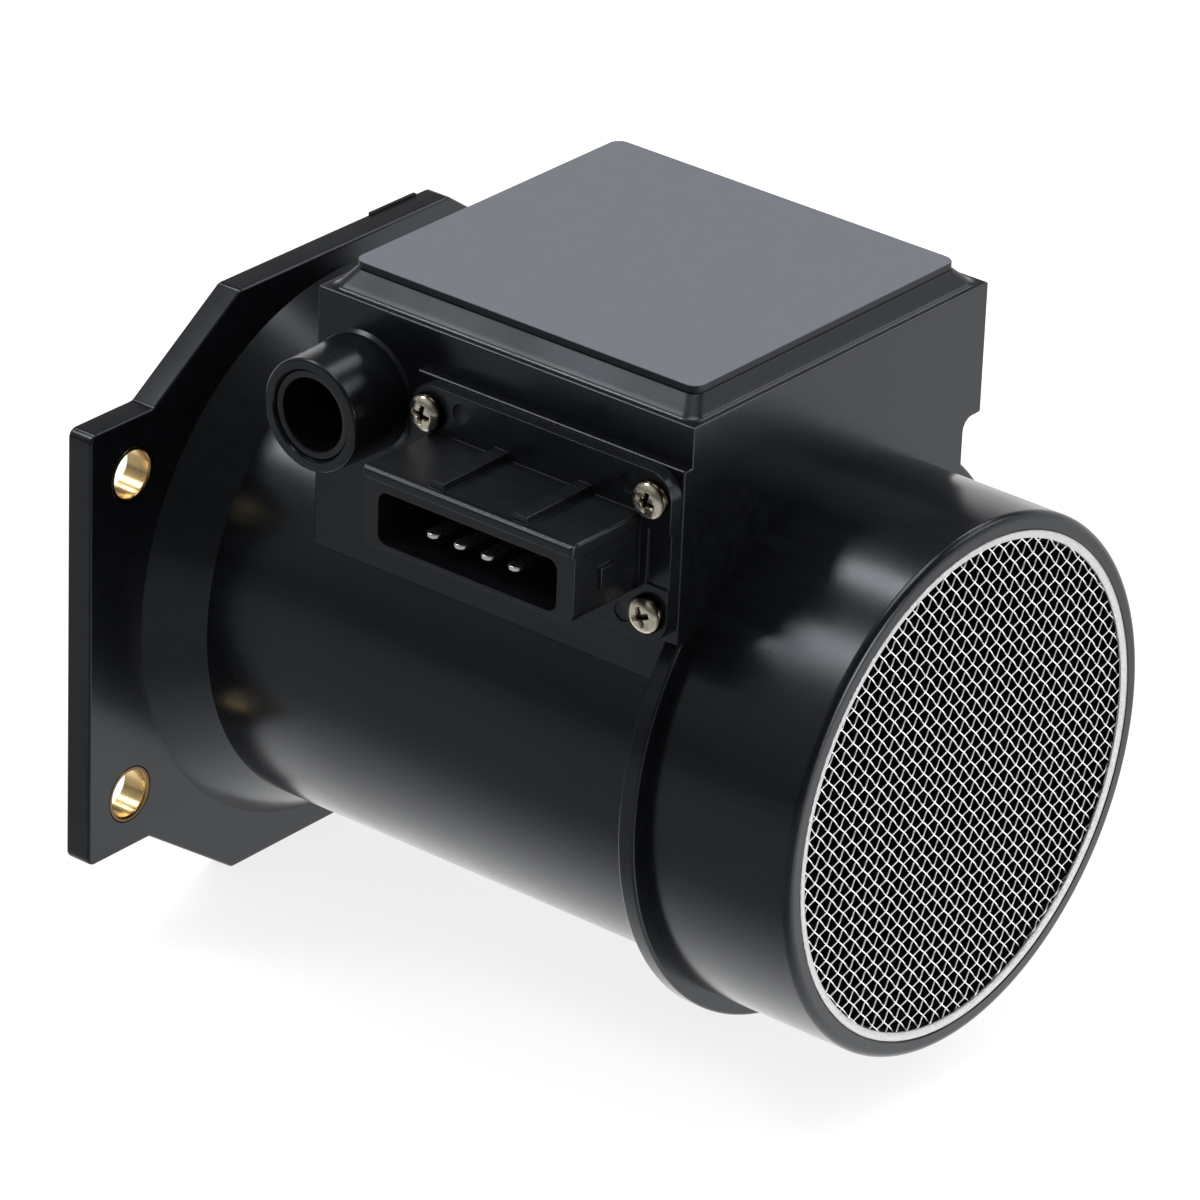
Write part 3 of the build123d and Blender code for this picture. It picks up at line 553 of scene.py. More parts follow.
def metal_surface():
    """Group: small stains, grain, and painted shade on a bare metal past a plane."""
    tree, given = surface_group(
        "metal_surface", Colour=(0.8, 0.8, 0.8, 1), Stain=(0.3, 0.3, 0.3, 1), Stain_amount=0.3,
        Stain_scale=900.0, Roughness=0.25, Roughness_spread=0.12, Grain_scale=6000.0,
        Grain_depth=0.1, Dull_axis=(1.0, 0.0, 0.0), Dull_from=1.0, Dull_colour=(0.1, 0.06, 0.02, 1),
    )
    place = result(tree, "ShaderNodeTexCoord", "Object")
    stain = noise(tree, place, given["Stain scale"], 5.0, 0.6)
    grain = noise(tree, place, given["Grain scale"], 2.0)
    amount = maths(tree, "MULTIPLY", span(tree, stain, 0.5, 0.72), given["Stain amount"])
    stained = mixed(tree, amount, given["Colour"], given["Stain"])
    # Painted shade: past a plane along an axis, the colour turns to a dark shade colour
    past = maths(tree, "SUBTRACT", dot(tree, place, given["Dull axis"]), given["Dull from"])
    colour = mixed(tree, span(tree, past, 0.0, 0.0003), stained, given["Dull colour"])
    rough = maths(
        tree, "MULTIPLY_ADD", grain, given["Roughness spread"], given["Roughness"], clamp=True
    )
    return close_tree(tree, colour, rough, maths(tree, "MULTIPLY", grain, given["Grain depth"]))


def finish(surface, name, metallic=0.0, specular=0.5, bump=0.00002, **values):
    """A material from one of the shared groups and its own values."""
    if name in bpy.data.materials:
        raise RuntimeError("a material of the pack has this name: " + name)
    material = bpy.data.materials.new(name)
    material.use_nodes = True
    tree = material.node_tree
    tree.nodes.clear()
    out = tree.nodes.new("ShaderNodeOutputMaterial")
    inputs = {"in_" + label: value for label, value in values.items()}
    look = add_node(tree, "ShaderNodeGroup", node_tree=surface, **inputs).outputs
    shader = add_node(
        tree, "ShaderNodeBsdfPrincipled", in_Base_Color=look["Colour"], in_Metallic=metallic,
        in_Roughness=look["Roughness"], in_Specular_IOR_Level=specular,
        in_Normal=result(tree, "ShaderNodeBump", in_Distance=bump, in_Height=look["Height"]),
    )
    if not metallic:
        shader.inputs["Specular Tint"].default_value = COOL_GLOSS
    tree.links.new(shader.outputs[0], out.inputs["Surface"])


def rgba(colour, gain=1.0):
    """A colour with its alpha, brightened or dimmed."""
    return (colour[0] * gain, colour[1] * gain, colour[2] * gain, 1.0)


def finishes():
    """All materials of the sensor, made once."""
    made = bpy.data.materials
    if "housing_plastic" in made:
        return made
    colours = bpy.context.scene.sensor_colours
    moulded = partial(finish, moulded_surface())
    metal = partial(finish, metal_surface(), metallic=1.0)
    moulded(
        "housing_plastic", Colour=rgba(colours.moulding), Pale_colour=rgba(colours.moulding_pale),
        Roughness=0.22, Roughness_spread=0.04, Grain_scale=2200.0, Grain_depth=0.25, Scuffs=0.4,
        Streak_stretch=(0.12, 1.0, 1.0), Matt_above=0.0624, Matt_amount=0.17, specular=0.4,
    )
    moulded(
        "connector_moulding", Colour=rgba(colours.connector),
        Pale_colour=rgba(colours.connector, 1.8), Roughness=0.29, Roughness_spread=0.05,
        Grain_scale=3200.0, Grain_depth=0.6, Scuffs=0.5, specular=0.4,
    )
    # Painted shade: the cover's sides are darkened towards near-black where they turn away from
    # straight up
    moulded(
        "cover_moulding", Colour=rgba(colours.cover), Pale_colour=rgba(colours.cover, 1.06),
        Roughness=0.50, Roughness_spread=0.03, Grain_scale=3600.0, Grain_depth=0.9, Scuffs=0.1,
        Streak_stretch=(1.0, 1.0, 1.0), Side_shade=0.95, specular=0.4,
    )
    moulded(
        "soft_rubber", Colour=(0.012, 0.012, 0.012, 1), Pale_colour=(0.02, 0.02, 0.02, 1),
        Roughness=0.7, Grain_depth=0.6, specular=0.35,
    )
    moulded(
        "board_resist", Colour=(0.015, 0.09, 0.04, 1), Pale_colour=(0.025, 0.13, 0.06, 1),
        Roughness=0.35, Grain_depth=0.2,
    )
    moulded(
        "chip_black", Colour=(0.02, 0.02, 0.021, 1), Pale_colour=(0.035, 0.035, 0.036, 1),
        Roughness=0.55, Grain_depth=0.6,
    )
    moulded(
        "fired_ceramic", Colour=(0.62, 0.52, 0.38, 1), Pale_colour=(0.72, 0.64, 0.50, 1),
        Roughness=0.5, Grain_depth=0.4,
    )
    # Painted dark reflection: the bush's front end, past 4.45 mm along the duct, is darkened
    # towards a dark brown
    metal(
        "brass_bush", Colour=rgba(colours.brass), Stain=(0.35, 0.22, 0.09, 1), Stain_amount=0.35,
        Stain_scale=500.0, Roughness=0.18, Roughness_spread=0.15, Dull_from=0.00445,
    )
    metal(
        "guard_wire", Colour=rgba(colours.wire), Stain=(0.35, 0.35, 0.36, 1), Stain_amount=0.2,
        Stain_scale=1500.0, Roughness=0.25,
    )
    metal(
        "guard_ring", Colour=rgba(colours.wire, 0.56), Stain=(0.22, 0.22, 0.23, 1),
        Stain_amount=0.6, Stain_scale=3000.0, Roughness=0.35, Roughness_spread=0.2,
        Grain_scale=3500.0, Grain_depth=1.0, bump=0.0002,
    )
    # Painted shade: each screw is darkened past a plane 0.5 mm below its head's top, deep in the
    # cross recess and on the lower head by the plate
    metal(
        "screw_nickel", Colour=rgba(colours.nickel), Stain=(0.16, 0.13, 0.08, 1),
        Stain_amount=0.6, Stain_scale=700.0, Roughness=0.13, Dull_axis=(0.0, 1.0, 0.0),
        Dull_from=-0.0408, Dull_colour=(0.045, 0.036, 0.024, 1),
    )
    metal(
        "terminal_plating", Colour=rgba(colours.tin), Stain=(0.35, 0.33, 0.30, 1),
        Stain_scale=800.0, Roughness=0.22,
    )
    metal(
        "plain_aluminium", Colour=(0.70, 0.71, 0.73, 1), Stain=(0.4, 0.4, 0.42, 1),
        Roughness=0.35, Roughness_spread=0.15,
    )
    return made


# Housing

def flange_solid(sizes):
    """The flange plate with rounded corners and edges."""
    corner = [
        (sizes.flange_half_width, sizes.tab_half_height),
        (sizes.flange_half_width - sizes.tab_width, sizes.tab_half_height),
        (sizes.flat_half_width, sizes.flange_half_height),
    ]
    points = []
    for side, up, order in ((1, 1, 1), (-1, 1, -1), (-1, -1, 1), (1, -1, -1)):
        points += [(side * y, up * z) for y, z in corner[::order]]
    outline = rounded_outline(points, sizes.flange_corner)
    return rims_rounded(prism("flange", outline, "X", 0, sizes.flange_thick), 0.45, 3)


def duct_solid(sizes):
    """Flare, duct, rib and collar with rounded edges."""
    rib_end = sizes.box_end_x
    edge = 0.5
    fine = sizes.collar_round
    profile = [(1, 0), (1, sizes.flare_r), (sizes.flange_thick, sizes.flare_r)]
    profile += [(sizes.flare_end_x, sizes.duct_r), (sizes.rib_x, sizes.duct_r)]
    profile += arc((sizes.rib_x + edge, sizes.rib_r - edge), edge, 180, 90, 4)
    profile += arc((rib_end - edge, sizes.rib_r - edge), edge, 90, 0, 4)
    profile += [(rib_end, sizes.collar_r)]
    profile += arc((sizes.duct_length - fine, sizes.collar_r - fine), fine, 90, 0, 7)
    profile += [(sizes.duct_length, 0)]
    return turned("duct", profile, sizes.round_steps)


def bore_solid(sizes):
    """The air path to cut out, with the flared mouth and the guard's seat."""
    bore = sizes.duct_r - sizes.duct_wall
    wide = sizes.collar_bore_r
    seat = sizes.screen_seat_r
    end = sizes.duct_length
    profile = [
        (-1, 0), (-1, bore + sizes.mouth_flare + 0.4), (0, bore + sizes.mouth_flare),
        (1.2, bore + 1.1), (2.6, bore + 0.4), (sizes.mouth_depth, bore),
        (sizes.collar_taper_x, bore), (sizes.collar_taper_x + sizes.collar_taper_length, wide),
        (end - sizes.screen_seat_depth, wide), (end - sizes.screen_seat_depth, seat),
        (end - 0.25, seat), (end + 0.5, seat + 0.75), (end + 1, seat + 0.75), (end + 1, 0),
    ]
    return turned("bore", profile, sizes.round_steps)


def box_solid(sizes):
    """The box, stepped in on its far side."""
    front = sizes.box_front_y
    back = sizes.box_back_y
    low_back = back - sizes.step_depth
    points = [
        (front, 0), (low_back, 0), (low_back, sizes.step_z), (back, sizes.step_z),
        (back, sizes.rim_z), (front, sizes.rim_z),
    ]
    outline = rounded_outline(points, [0, 0, 2.0, 0.4, 0.3, 0.3], 4)
    return rims_rounded(prism("box", outline, "X", sizes.box_x, sizes.box_end_x), 0.25, 2)


def drawn_in(sizes, x, y):
    """The box's lower and upper corner from above, drawn in."""
    low = (sizes.box_x + x, sizes.box_front_y + y)
    return (*low, sizes.box_end_x - x, sizes.box_back_y - y)


def crown_solid(sizes):
    """The leaning band between the box's rim and the cover, with a small hollow at its foot."""
    rise = sizes.crown_rise
    ledge = sizes.crown_ledge
    levels = [
        (-0.25, -0.8), (-0.20, 0.0), (-0.10, 0.015), (-0.02, 0.06), (0.06, 0.15), (0.14, 0.29),
        (0.22, 0.49), (0.955, rise * 0.955), (1.0, rise * 0.985), (1.03, rise),
    ]
    rings = []
    for share, height in levels:
        inset = [ledge + (top - ledge) * share for top in sizes.crown_inset]
        radius = sizes.crown_corner + (sizes.cover_corner - sizes.crown_corner) * share
        outline = rounded_box(drawn_in(sizes, *inset), radius, 10)
        rings.append([(x, y, sizes.rim_z + height) for x, y in outline])
    return skin("crown", rings, capped=True)


def pocket_outline(sizes, gap, radius):
    """The pocket's outline, drawn in by a gap."""
    wall = [inset + sizes.cover_seat + gap for inset in sizes.crown_inset]
    return rounded_box(drawn_in(sizes, *wall), radius, 3)


def on_stub(sizes, name, profile):
    """A solid turned on the stub's axis."""
    x, z = sizes.stub
    return turned(name, profile, 96, (x, 0, z), "Y")


def stub_solid(sizes):
    """The stub tube, slightly tapered, with a small root fillet and a rounded mouth."""
    front = sizes.box_front_y
    mouth = sizes.stub_end_y
    root_r = sizes.stub_base_r
    edge = 0.5
    profile = [(front + 2, 0), (front + 2, root_r), (front, root_r + 0.5), (front - 0.5, root_r)]
    profile += arc((mouth + edge, sizes.stub_r - edge), edge, 90, 180, 4)
    return on_stub(sizes, "stub", profile + [(mouth, 0)])


def stub_bores(sizes):
    """The stub's liner seat, widened at its mouth, and its tool bore."""
    mouth = sizes.stub_end_y
    seat_r = sizes.sleeve_r
    bore_r = sizes.stub_bore_r
    seat_end = mouth + sizes.sleeve_depth
    bore_end = mouth + sizes.stub_bore_depth
    seat = [
        (mouth - 1, 0), (mouth - 1, seat_r + 0.9), (mouth + 0.35, seat_r + 0.1),
        (mouth + 0.8, seat_r), (seat_end, seat_r), (seat_end, 0),
    ]
    bore = [(mouth - 1, 0), (mouth - 1, bore_r), (bore_end, bore_r), (bore_end, 0)]
    return [on_stub(sizes, "seat", seat), on_stub(sizes, "tool_bore", bore)]


class SENSOR_OT_housing(bpy.types.Operator):
    """Builds the one-piece housing with smooth rounds and edges"""
    bl_idname = "sensor.housing"
    bl_label = "Housing"

    def execute(self, context):
        sizes = context.scene.sensor_housing
        body = duct_solid(sizes)
        top = sizes.flange_half_height
        pad_x, pad_low, pad_high = sizes.pad
        # The lip is the small raised step on the flange's upper edge
        adds = [
            flange_solid(sizes), box_solid(sizes), crown_solid(sizes),
            block(
                "pad", (pad_x, sizes.pad_y, pad_low),
                (sizes.box_end_x, sizes.box_front_y + 1, pad_high), 0.3,
            ),
            stub_solid(sizes), block("lip", (0, 10.5, top - 1), (0.6, 21.1, top + 0.3)),
        ]
        cuts = [
            prism("pocket", pocket_outline(sizes, 0, 1.2), "Z", sizes.pocket_z, sizes.seat_z + 1),
            bore_solid(sizes),
        ]
        cuts += stub_bores(sizes)
        y, z = sizes.bolts
        for bolt in ((-y, -z), (-y, z), (y, -z), (y, z)):
            cuts.append(rod("hole", "X", sizes.bush_r, -1, 6, *bolt))
        strut_top = sizes.pocket_z + 0.5
        cuts.append(rod("strut_hole", "Z", sizes.strut_hole_r, 30, strut_top, sizes.strut_x, 0))
        smooth(combine(body, adds, cuts))
        hand_in(body, "housing_shell", "housing_plastic", "main_housing")
        return {"FINISHED"}


class SENSOR_OT_inner(bpy.types.Operator):
    """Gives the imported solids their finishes"""
    bl_idname = "sensor.inner"
    bl_label = "Packed solids"

    def execute(self, context):
        wear = {
            "soft_rubber": "cover_sealant connector_gasket stub_plug holder_o_ring",
            "chip_black": "trimmer_pot control_chip power_transistor chip_resistors",
            "fired_ceramic": "chip_capacitors hot_element cold_element",
            "terminal_plating": "sensor_leads sensor_prongs blade_terminals",
            "screw_nickel": "board_screws holder_screws plate_screws",
            "housing_plastic": "stub_sleeve main_housing",
            "connector_moulding": "sensor_holder connector_body",
            "plain_aluminium": "base_plate filter_capacitors",
            "board_resist": "circuit_board",
            "cover_moulding": "top_cover",
            "brass_bush": "flange_bushes",
            "guard_ring": "screen_ring",
            "guard_wire": "screen_mesh",
        }
        for material, nodes in wear.items():
            for node in nodes.split():
                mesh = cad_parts[node].data
                mesh.materials.clear()
                mesh.materials.append(finishes()[material])
        return {"FINISHED"}


# Cover and connector

class SENSOR_OT_cover(bpy.types.Operator):
    """Builds the flat cover with its rounded edges and the tongue below it"""
    bl_idname = "sensor.cover"
    bl_label = "Cover"

    def execute(self, context):
        sizes = context.scene.sensor_housing
        low, high = ([c / MM for c in corner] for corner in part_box("top_cover"))
        outline = rounded_box(low[:2] + high[:2], sizes.cover_corner, 10)
        plate = prism("plate", outline, "Z", sizes.seat_z, high[2])
        softened(plate, width=0.22, segments=3, angle=60)
        inside = pocket_outline(sizes, 0.2, 1.0)
        combine(plate, [prism("tongue", inside, "Z", low[2], sizes.seat_z + 0.1)])
        smooth(plate)
        hand_in(plate, "cover_plate", "cover_moulding", "top_cover")
        return {"FINISHED"}


def connector_plate(sizes, face_y, back_y):
    """The screwed plate with its low land at the hose side."""
    outline = rounded_box(sizes.plate, sizes.plate_corner, 10)
    low, end, high = sizes.plate[1:]
    low_land = block(
        "land", (end - sizes.plate_corner, face_y - 1, low + sizes.land_margin),
        (end + 1, face_y + sizes.land_drop, high - sizes.land_margin),
    )
    return combine(prism("plate", outline, "Y", face_y, back_y), cuts=[low_land])


def connector_marks(sizes, face_y):
    """The shallow round ejector marks, placed from the plate's lower corner."""
    x, z = sizes.plate[:2]
    places = ((x + 40.8, z + 3.2), (x + 41.05, z + 23.8), (x + 9.55, z + 24.35))
    return [rod("mark", "Y", 1.5, face_y - 1, face_y + 0.25, *place, 32) for place in places]


def shroud_solids(sizes, face_y):
    """The shroud with its sunk end panel, then its bar, two key ribs and latch nub."""
    start, low, end, high = sizes.shroud
    mouth = sizes.shroud_end_y
    outline = rounded_box(sizes.shroud, [1.6, 1.6, 0.5, 0.5], 5)
    shroud = prism("shroud", outline, "Y", mouth, face_y + 1)
    panel = block("panel", (end - 0.25, mouth + 1.6, low + 0.8), (end + 1, face_y, high - 2.4))
    combine(shroud, cuts=[panel])
    adds = [block(
        "bar", (start, mouth - sizes.lip_proud, high - sizes.lip_bar), (end, mouth + 1, high),
        0.62, 4, "XZ",
    )]
    for inset in sizes.keys:
        key = start + inset
        adds.append(block(
            "key", (key, mouth + 0.4, high - 1),
            (key + sizes.key_width, face_y + 1, high + sizes.key_height),
        ))
    nub = block("nub", (end - 1, mouth + 5.5, low + 3.7), (end + 0.55, mouth + 8.9, low + 7.2))
    return [shroud] + adds + [nub]


class SENSOR_OT_connector(bpy.types.Operator):
    """Builds the connector moulding with its socket, ribs and marks"""
    bl_idname = "sensor.connector"
    bl_label = "Connector"

    def execute(self, context):
        sizes = context.scene.sensor_connector
        back_y = context.scene.sensor_housing.pad_y
        face_y = back_y - sizes.plate_thick
        body = connector_plate(sizes, face_y, back_y)
        adds = shroud_solids(sizes, face_y)
        mouth = sizes.shroud_end_y - 2 * sizes.lip_proud
        outline = rounded_box(sizes.socket, 1.6, 6)
        socket = prism("socket", outline, "Y", mouth, sizes.socket_floor_y)
        combine(body, adds, [socket] + connector_marks(sizes, face_y))
        softened(body, width=0.17, segments=2, angle=40)
        # The spigot stands in the box's window, behind the four blades
        spigot = block("spigot", (63.2, back_y - 1, 37.7), (87.2, -28.95, 42.7), 0.2, 2)
        smooth(combine(body, [spigot]))
        hand_in(
            body, "connector_shell", "connector_moulding", "connector_body"
        )
        return {"FINISHED"}


# Repeated and small pieces

def form_tree(name, **inputs):
    """A geometry nodes tree with inputs of each kind."""
    tree = bpy.data.node_groups.new(name, "GeometryNodeTree")
    tree.interface.new_socket("Geometry", in_out="OUTPUT", socket_type="NodeSocketGeometry")
    for kind, labels in inputs.items():
        for label in labels:
            tree.interface.new_socket(label, in_out="INPUT", socket_type="NodeSocket" + kind)
    return tree, tree.nodes.new("NodeGroupInput").outputs


def laid_out(tree, points, piece, **turn):
    """Real copies of a piece on points."""
    copied = result(
        tree, "GeometryNodeInstanceOnPoints", in_Points=points, in_Instance=piece, **turn
    )
    return result(tree, "GeometryNodeRealizeInstances", in_Geometry=copied)


def close_form(tree, shape, material):
    """Ends a tree with a real shape in its material."""
    real = result(tree, "GeometryNodeRealizeInstances", in_Geometry=shape)
    coated = result(tree, "GeometryNodeSetMaterial", in_Geometry=real, in_Material=material)
    return close_tree(tree, coated)


def set_inputs(modifier, **values):
    """Sets a geometry nodes modifier's inputs by their labels."""
    for item in modifier.node_group.interface.items_tree:
        label = item.name.replace(" ", "_")
        if item.item_type == "SOCKET" and item.in_out == "INPUT" and label in values:
            modifier[item.identifier] = values[label]


def copies_tree():
    """Geometry nodes: copies of one piece on a two by two pattern or along a row."""
    tree, given = form_tree(
        "placed_copies", Object=("Piece",), Int=("Columns", "Rows", "Seed"),
        Vector=("Column step", "Row step", "Start", "Spin axis"), Float=("Spin spread",),
        Material=("Material",),
    )
    column = result(
        tree, "GeometryNodeMeshLine", mode="OFFSET", in_Count=given["Columns"],
        in_Start_Location=given["Start"], in_Offset=given["Column step"],
    )
    row = result(
        tree, "GeometryNodeMeshLine", mode="OFFSET", in_Count=given["Rows"],
        in_Offset=given["Row step"],
    )
    piece = result(tree, "GeometryNodeObjectInfo", "Geometry", in_Object=given["Piece"])
    spin = result(
        tree, "FunctionNodeRandomValue", 1, data_type="FLOAT", in_Max=given["Spin spread"],
        in_Seed=given["Seed"],
    )
    turn = result(
        tree, "FunctionNodeAxisAngleToRotation", in_Axis=given["Spin axis"], in_Angle=spin
    )
    placed = laid_out(tree, laid_out(tree, column, row), piece, in_Rotation=turn)
    return close_form(tree, placed, given["Material"])


def copies(name, piece, material, start, column, row, counts=(2, 2), spread=0.0, seed=1):
    """A mesh of copies of a piece, which is then removed."""
    obj = link(name, bpy.data.meshes.new(name))
    array = obj.modifiers.new("copies", "NODES")
    array.node_group = bpy.data.node_groups.get("placed_copies") or copies_tree()
    start, column, row = ([v * MM for v in place] for place in (start, column, row))
    set_inputs(
        array, Piece=piece, Columns=counts[0], Rows=counts[1], Column_step=column, Row_step=row,
        Start=start, Spin_axis=(0, 1, 0), Spin_spread=spread, Seed=seed,
        Material=finishes()[material],
    )
    work_in(obj)
    bpy.data.objects.remove(piece)
    return obj


def pan_head(sizes):
    """A pan-head screw along +Y with a cross recess; its head's underside is at the origin."""
    r = sizes.screw_head_r
    h = sizes.screw_head_height
    brim = h * 0.38
    flat = 0.9
    shank = 1.45
    profile = [(8.0, 0), (7.4, 1.0), (7.0, shank), (0.0, shank)]
    profile += [(0.0, r - 0.1), (-0.1, r), (-brim, r)]
    for k in range(1, 9):
        turn = math.radians(90 * k / 9)
        profile.append((-brim - (h - brim) * math.sin(turn), flat + (r - flat) * math.cos(turn)))
    profile += [(-h, flat), (-h, 0)]
    screw = turned("screw", profile, 56, axis="Y")
    cuts = []
    for reach_x, reach_z in ((1.75, 0.46), (0.46, 1.75)):
        rings = []
        for y, lean in ((-h - 0.3, 1.05), (-h + 1.2, 0.6)):
            x, z = reach_x * lean, reach_z * lean
            rings.append([(-x, y, -z), (x, y, -z), (x, y, z), (-x, y, z)])
        cuts.append(skin("slot", rings, capped=True))
    combine(screw, cuts=cuts)
    softened(screw, width=0.07, segments=2, angle=50)
    return smooth(screw, 40)


class SENSOR_OT_fasteners(bpy.types.Operator):
    """Builds the plate screws and the flange bushes and places their copies"""
    bl_idname = "sensor.fasteners"
    bl_label = "Screws and bushes"

    def execute(self, context):
        sizes = context.scene.sensor_connector
        housing = context.scene.sensor_housing
        face_y = housing.pad_y - sizes.plate_thick
        x, z = sizes.screw
        span_x, span_z = sizes.screw_span
        screws = copies(
            "plate_screw_set", pan_head(sizes), "screw_nickel", (x, face_y, z), (span_x, 0, 0),
            (0, 0, span_z), spread=1.4, seed=4,
        )
        hand_in(screws, "plate_screw_set", "screw_nickel", "plate_screws")
        r = housing.bush_r
        bore = housing.bush_bore
        end = housing.flange_thick
        profile = [
            (0.0, bore + 0.25), (0.0, r - 0.12), (0.12, r), (end - 0.3, r), (end, r - 0.2),
            (end, bore + 0.35), (end - 0.12, bore + 0.12), (end - 0.4, bore), (0.25, bore),
        ]
        y, z = housing.bolts
        bushes = copies(
            "bush_set", smooth(turned("bush", profile, 72), 40), "brass_bush", (0, -y, -z),
            (0, 2 * y, 0), (0, 0, 2 * z),
        )
        hand_in(bushes, "bush_set", "brass_bush", "flange_bushes")
        return {"FINISHED"}


class SENSOR_OT_blades(bpy.types.Operator):
    """Builds the row of terminal blades with their coined tips"""
    bl_idname = "sensor.blades"
    bl_label = "Terminal blades"

    def execute(self, context):
        sizes = context.scene.sensor_connector
        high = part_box("blade_terminals")[1]
        back = high.y / MM
        front = back - sizes.blade_thick
        half = sizes.blade_width / 2
        tip = sizes.blade_tip_y
        points = [(-half, tip), (half, tip), (half, back), (-half, back)]
        outline = rounded_outline(points, [half - 0.05, half - 0.05, 0, 0], 8)
        blade = prism("blade", outline, "Z", -sizes.blade_thick / 2, sizes.blade_thick / 2)
        softened(blade, width=0.2, segments=3, angle=50)
        x, z = sizes.blade
        leg_top = 49.5 - z
        pin_top = high.z / MM - z
        leg = block("leg", (-half, front, 0), (half, back, leg_top), 0.1, 2)
        pin = block("pin", (-0.5, front, leg_top - 0.5), (0.5, back, pin_top), 0.1, 2)
        smooth(combine(blade, [leg, pin]), 40)
        row = copies(
            "blade_row", blade, "terminal_plating", (x, 0, z), (sizes.blade_pitch, 0, 0),
            (0, 0, 1), (4, 1),
        )
        hand_in(row, "blade_row", "terminal_plating", "blade_terminals")
        return {"FINISHED"}


class SENSOR_OT_rings(bpy.types.Operator):
    """Builds the guard's ring and the liner of the stub"""
    bl_idname = "sensor.rings"
    bl_label = "Ring and liner"

    def execute(self, context):
        sizes = context.scene.sensor_housing
        seat = sizes.screen_seat_r
        inner = seat - 1.3
        end = sizes.duct_length
        start = end - sizes.screen_seat_depth + 0.5
        profile = [
            (start, inner), (start, seat), (end - 0.15, seat), (end - 0.03, seat - 0.12),
            (end, seat - 0.4), (end - 0.06, inner + 0.35), (end - 0.3, inner),
        ]
        ring = smooth(turned("guard_hoop", profile, sizes.round_steps), 50)
        hand_in(ring, "guard_hoop", "guard_ring", "screen_ring")
        start = sizes.stub_end_y + 0.6
        end = sizes.stub_end_y + sizes.sleeve_depth
        bore = sizes.stub_bore_r
        outer = sizes.sleeve_r
        profile = [
            (start, bore + 0.35), (start, outer - 0.2), (start + 0.2, outer), (end, outer),
            (end, bore), (start + 0.35, bore), (start + 0.1, bore + 0.1),
        ]
        liner = smooth(on_stub(sizes, "stub_liner", profile), 40)
        hand_in(liner, "stub_liner", "housing_plastic", "stub_sleeve")
        return {"FINISHED"}


# Wire guard

def wire_tree():
    """Geometry nodes: one family of crimped wires, trimmed to the disc."""
    tree, given = form_tree(
        "crimped_wires", Int=("Wires", "Points", "Sides"), Material=("Material",),
        Float=(
            "Pitch", "Turn", "Cross pitch", "Cross turn", "Reach", "Wire radius", "Crimp", "Plane",
        ),
    )

    def direction(turn):
        return result(
            tree, "ShaderNodeCombineXYZ", in_Y=maths(tree, "COSINE", turn),
            in_Z=maths(tree, "SINE", turn),
        )

    def scaled(vector, factor):
        return result(
            tree, "ShaderNodeVectorMath", operation="SCALE", in_0=vector, in_Scale=factor
        )

    def rows_at(vector, pitch):
        return maths(tree, "DIVIDE", dot(tree, spot, vector), pitch)

    across = direction(given["Turn"])
    along = direction(maths(tree, "ADD", given["Turn"], math.pi / 2))
    crossing = direction(given["Cross turn"])
    back = maths(tree, "MULTIPLY", given["Reach"], -1.0)
    half_rows = maths(tree, "MULTIPLY", maths(tree, "SUBTRACT", given["Wires"], 1.0), 0.5)
    half_width = maths(tree, "MULTIPLY", half_rows, given["Pitch"])
    rows = result(
        tree, "GeometryNodeMeshLine", mode="OFFSET", in_Count=given["Wires"],
        in_Start_Location=scaled(across, maths(tree, "MULTIPLY", half_width, -1.0)),
        in_Offset=scaled(across, given["Pitch"]),
    )
    straight = result(
        tree, "GeometryNodeCurvePrimitiveLine", in_Start=scaled(along, back),
        in_End=scaled(along, given["Reach"]),
    )
    wires = result(
        tree, "GeometryNodeResampleCurve", in_Curve=laid_out(tree, rows, straight),
        in_Count=given["Points"],
    )
    spot = result(tree, "GeometryNodeInputPosition")
    phase = maths(
        tree, "ADD", rows_at(across, given["Pitch"]), rows_at(crossing, given["Cross pitch"])
    )
    wave = maths(tree, "COSINE", maths(tree, "MULTIPLY", phase, math.pi))
    height = maths(tree, "ADD", maths(tree, "MULTIPLY", wave, given["Crimp"]), given["Plane"])
    radius = result(tree, "ShaderNodeVectorMath", "Value", operation="LENGTH", in_0=spot)
    outside = result(
        tree, "FunctionNodeCompare", data_type="FLOAT", operation="GREATER_THAN", in_A=radius,
        in_B=given["Reach"],
    )
    wires = result(
        tree, "GeometryNodeDeleteGeometry", domain="POINT", in_Geometry=wires, in_Selection=outside
    )
    wires = result(
        tree, "GeometryNodeSetPosition", in_Geometry=wires,
        in_Offset=result(tree, "ShaderNodeCombineXYZ", in_X=height),
    )
    section = result(
        tree, "GeometryNodeCurvePrimitiveCircle", in_Resolution=given["Sides"],
        in_Radius=given["Wire radius"],
    )
    solid = result(
        tree, "GeometryNodeCurveToMesh", in_Curve=wires, in_Profile_Curve=section,
        in_Fill_Caps=True,
    )
    shaded = result(tree, "GeometryNodeSetShadeSmooth", in_Geometry=solid)
    return close_form(tree, shaded, given["Material"])


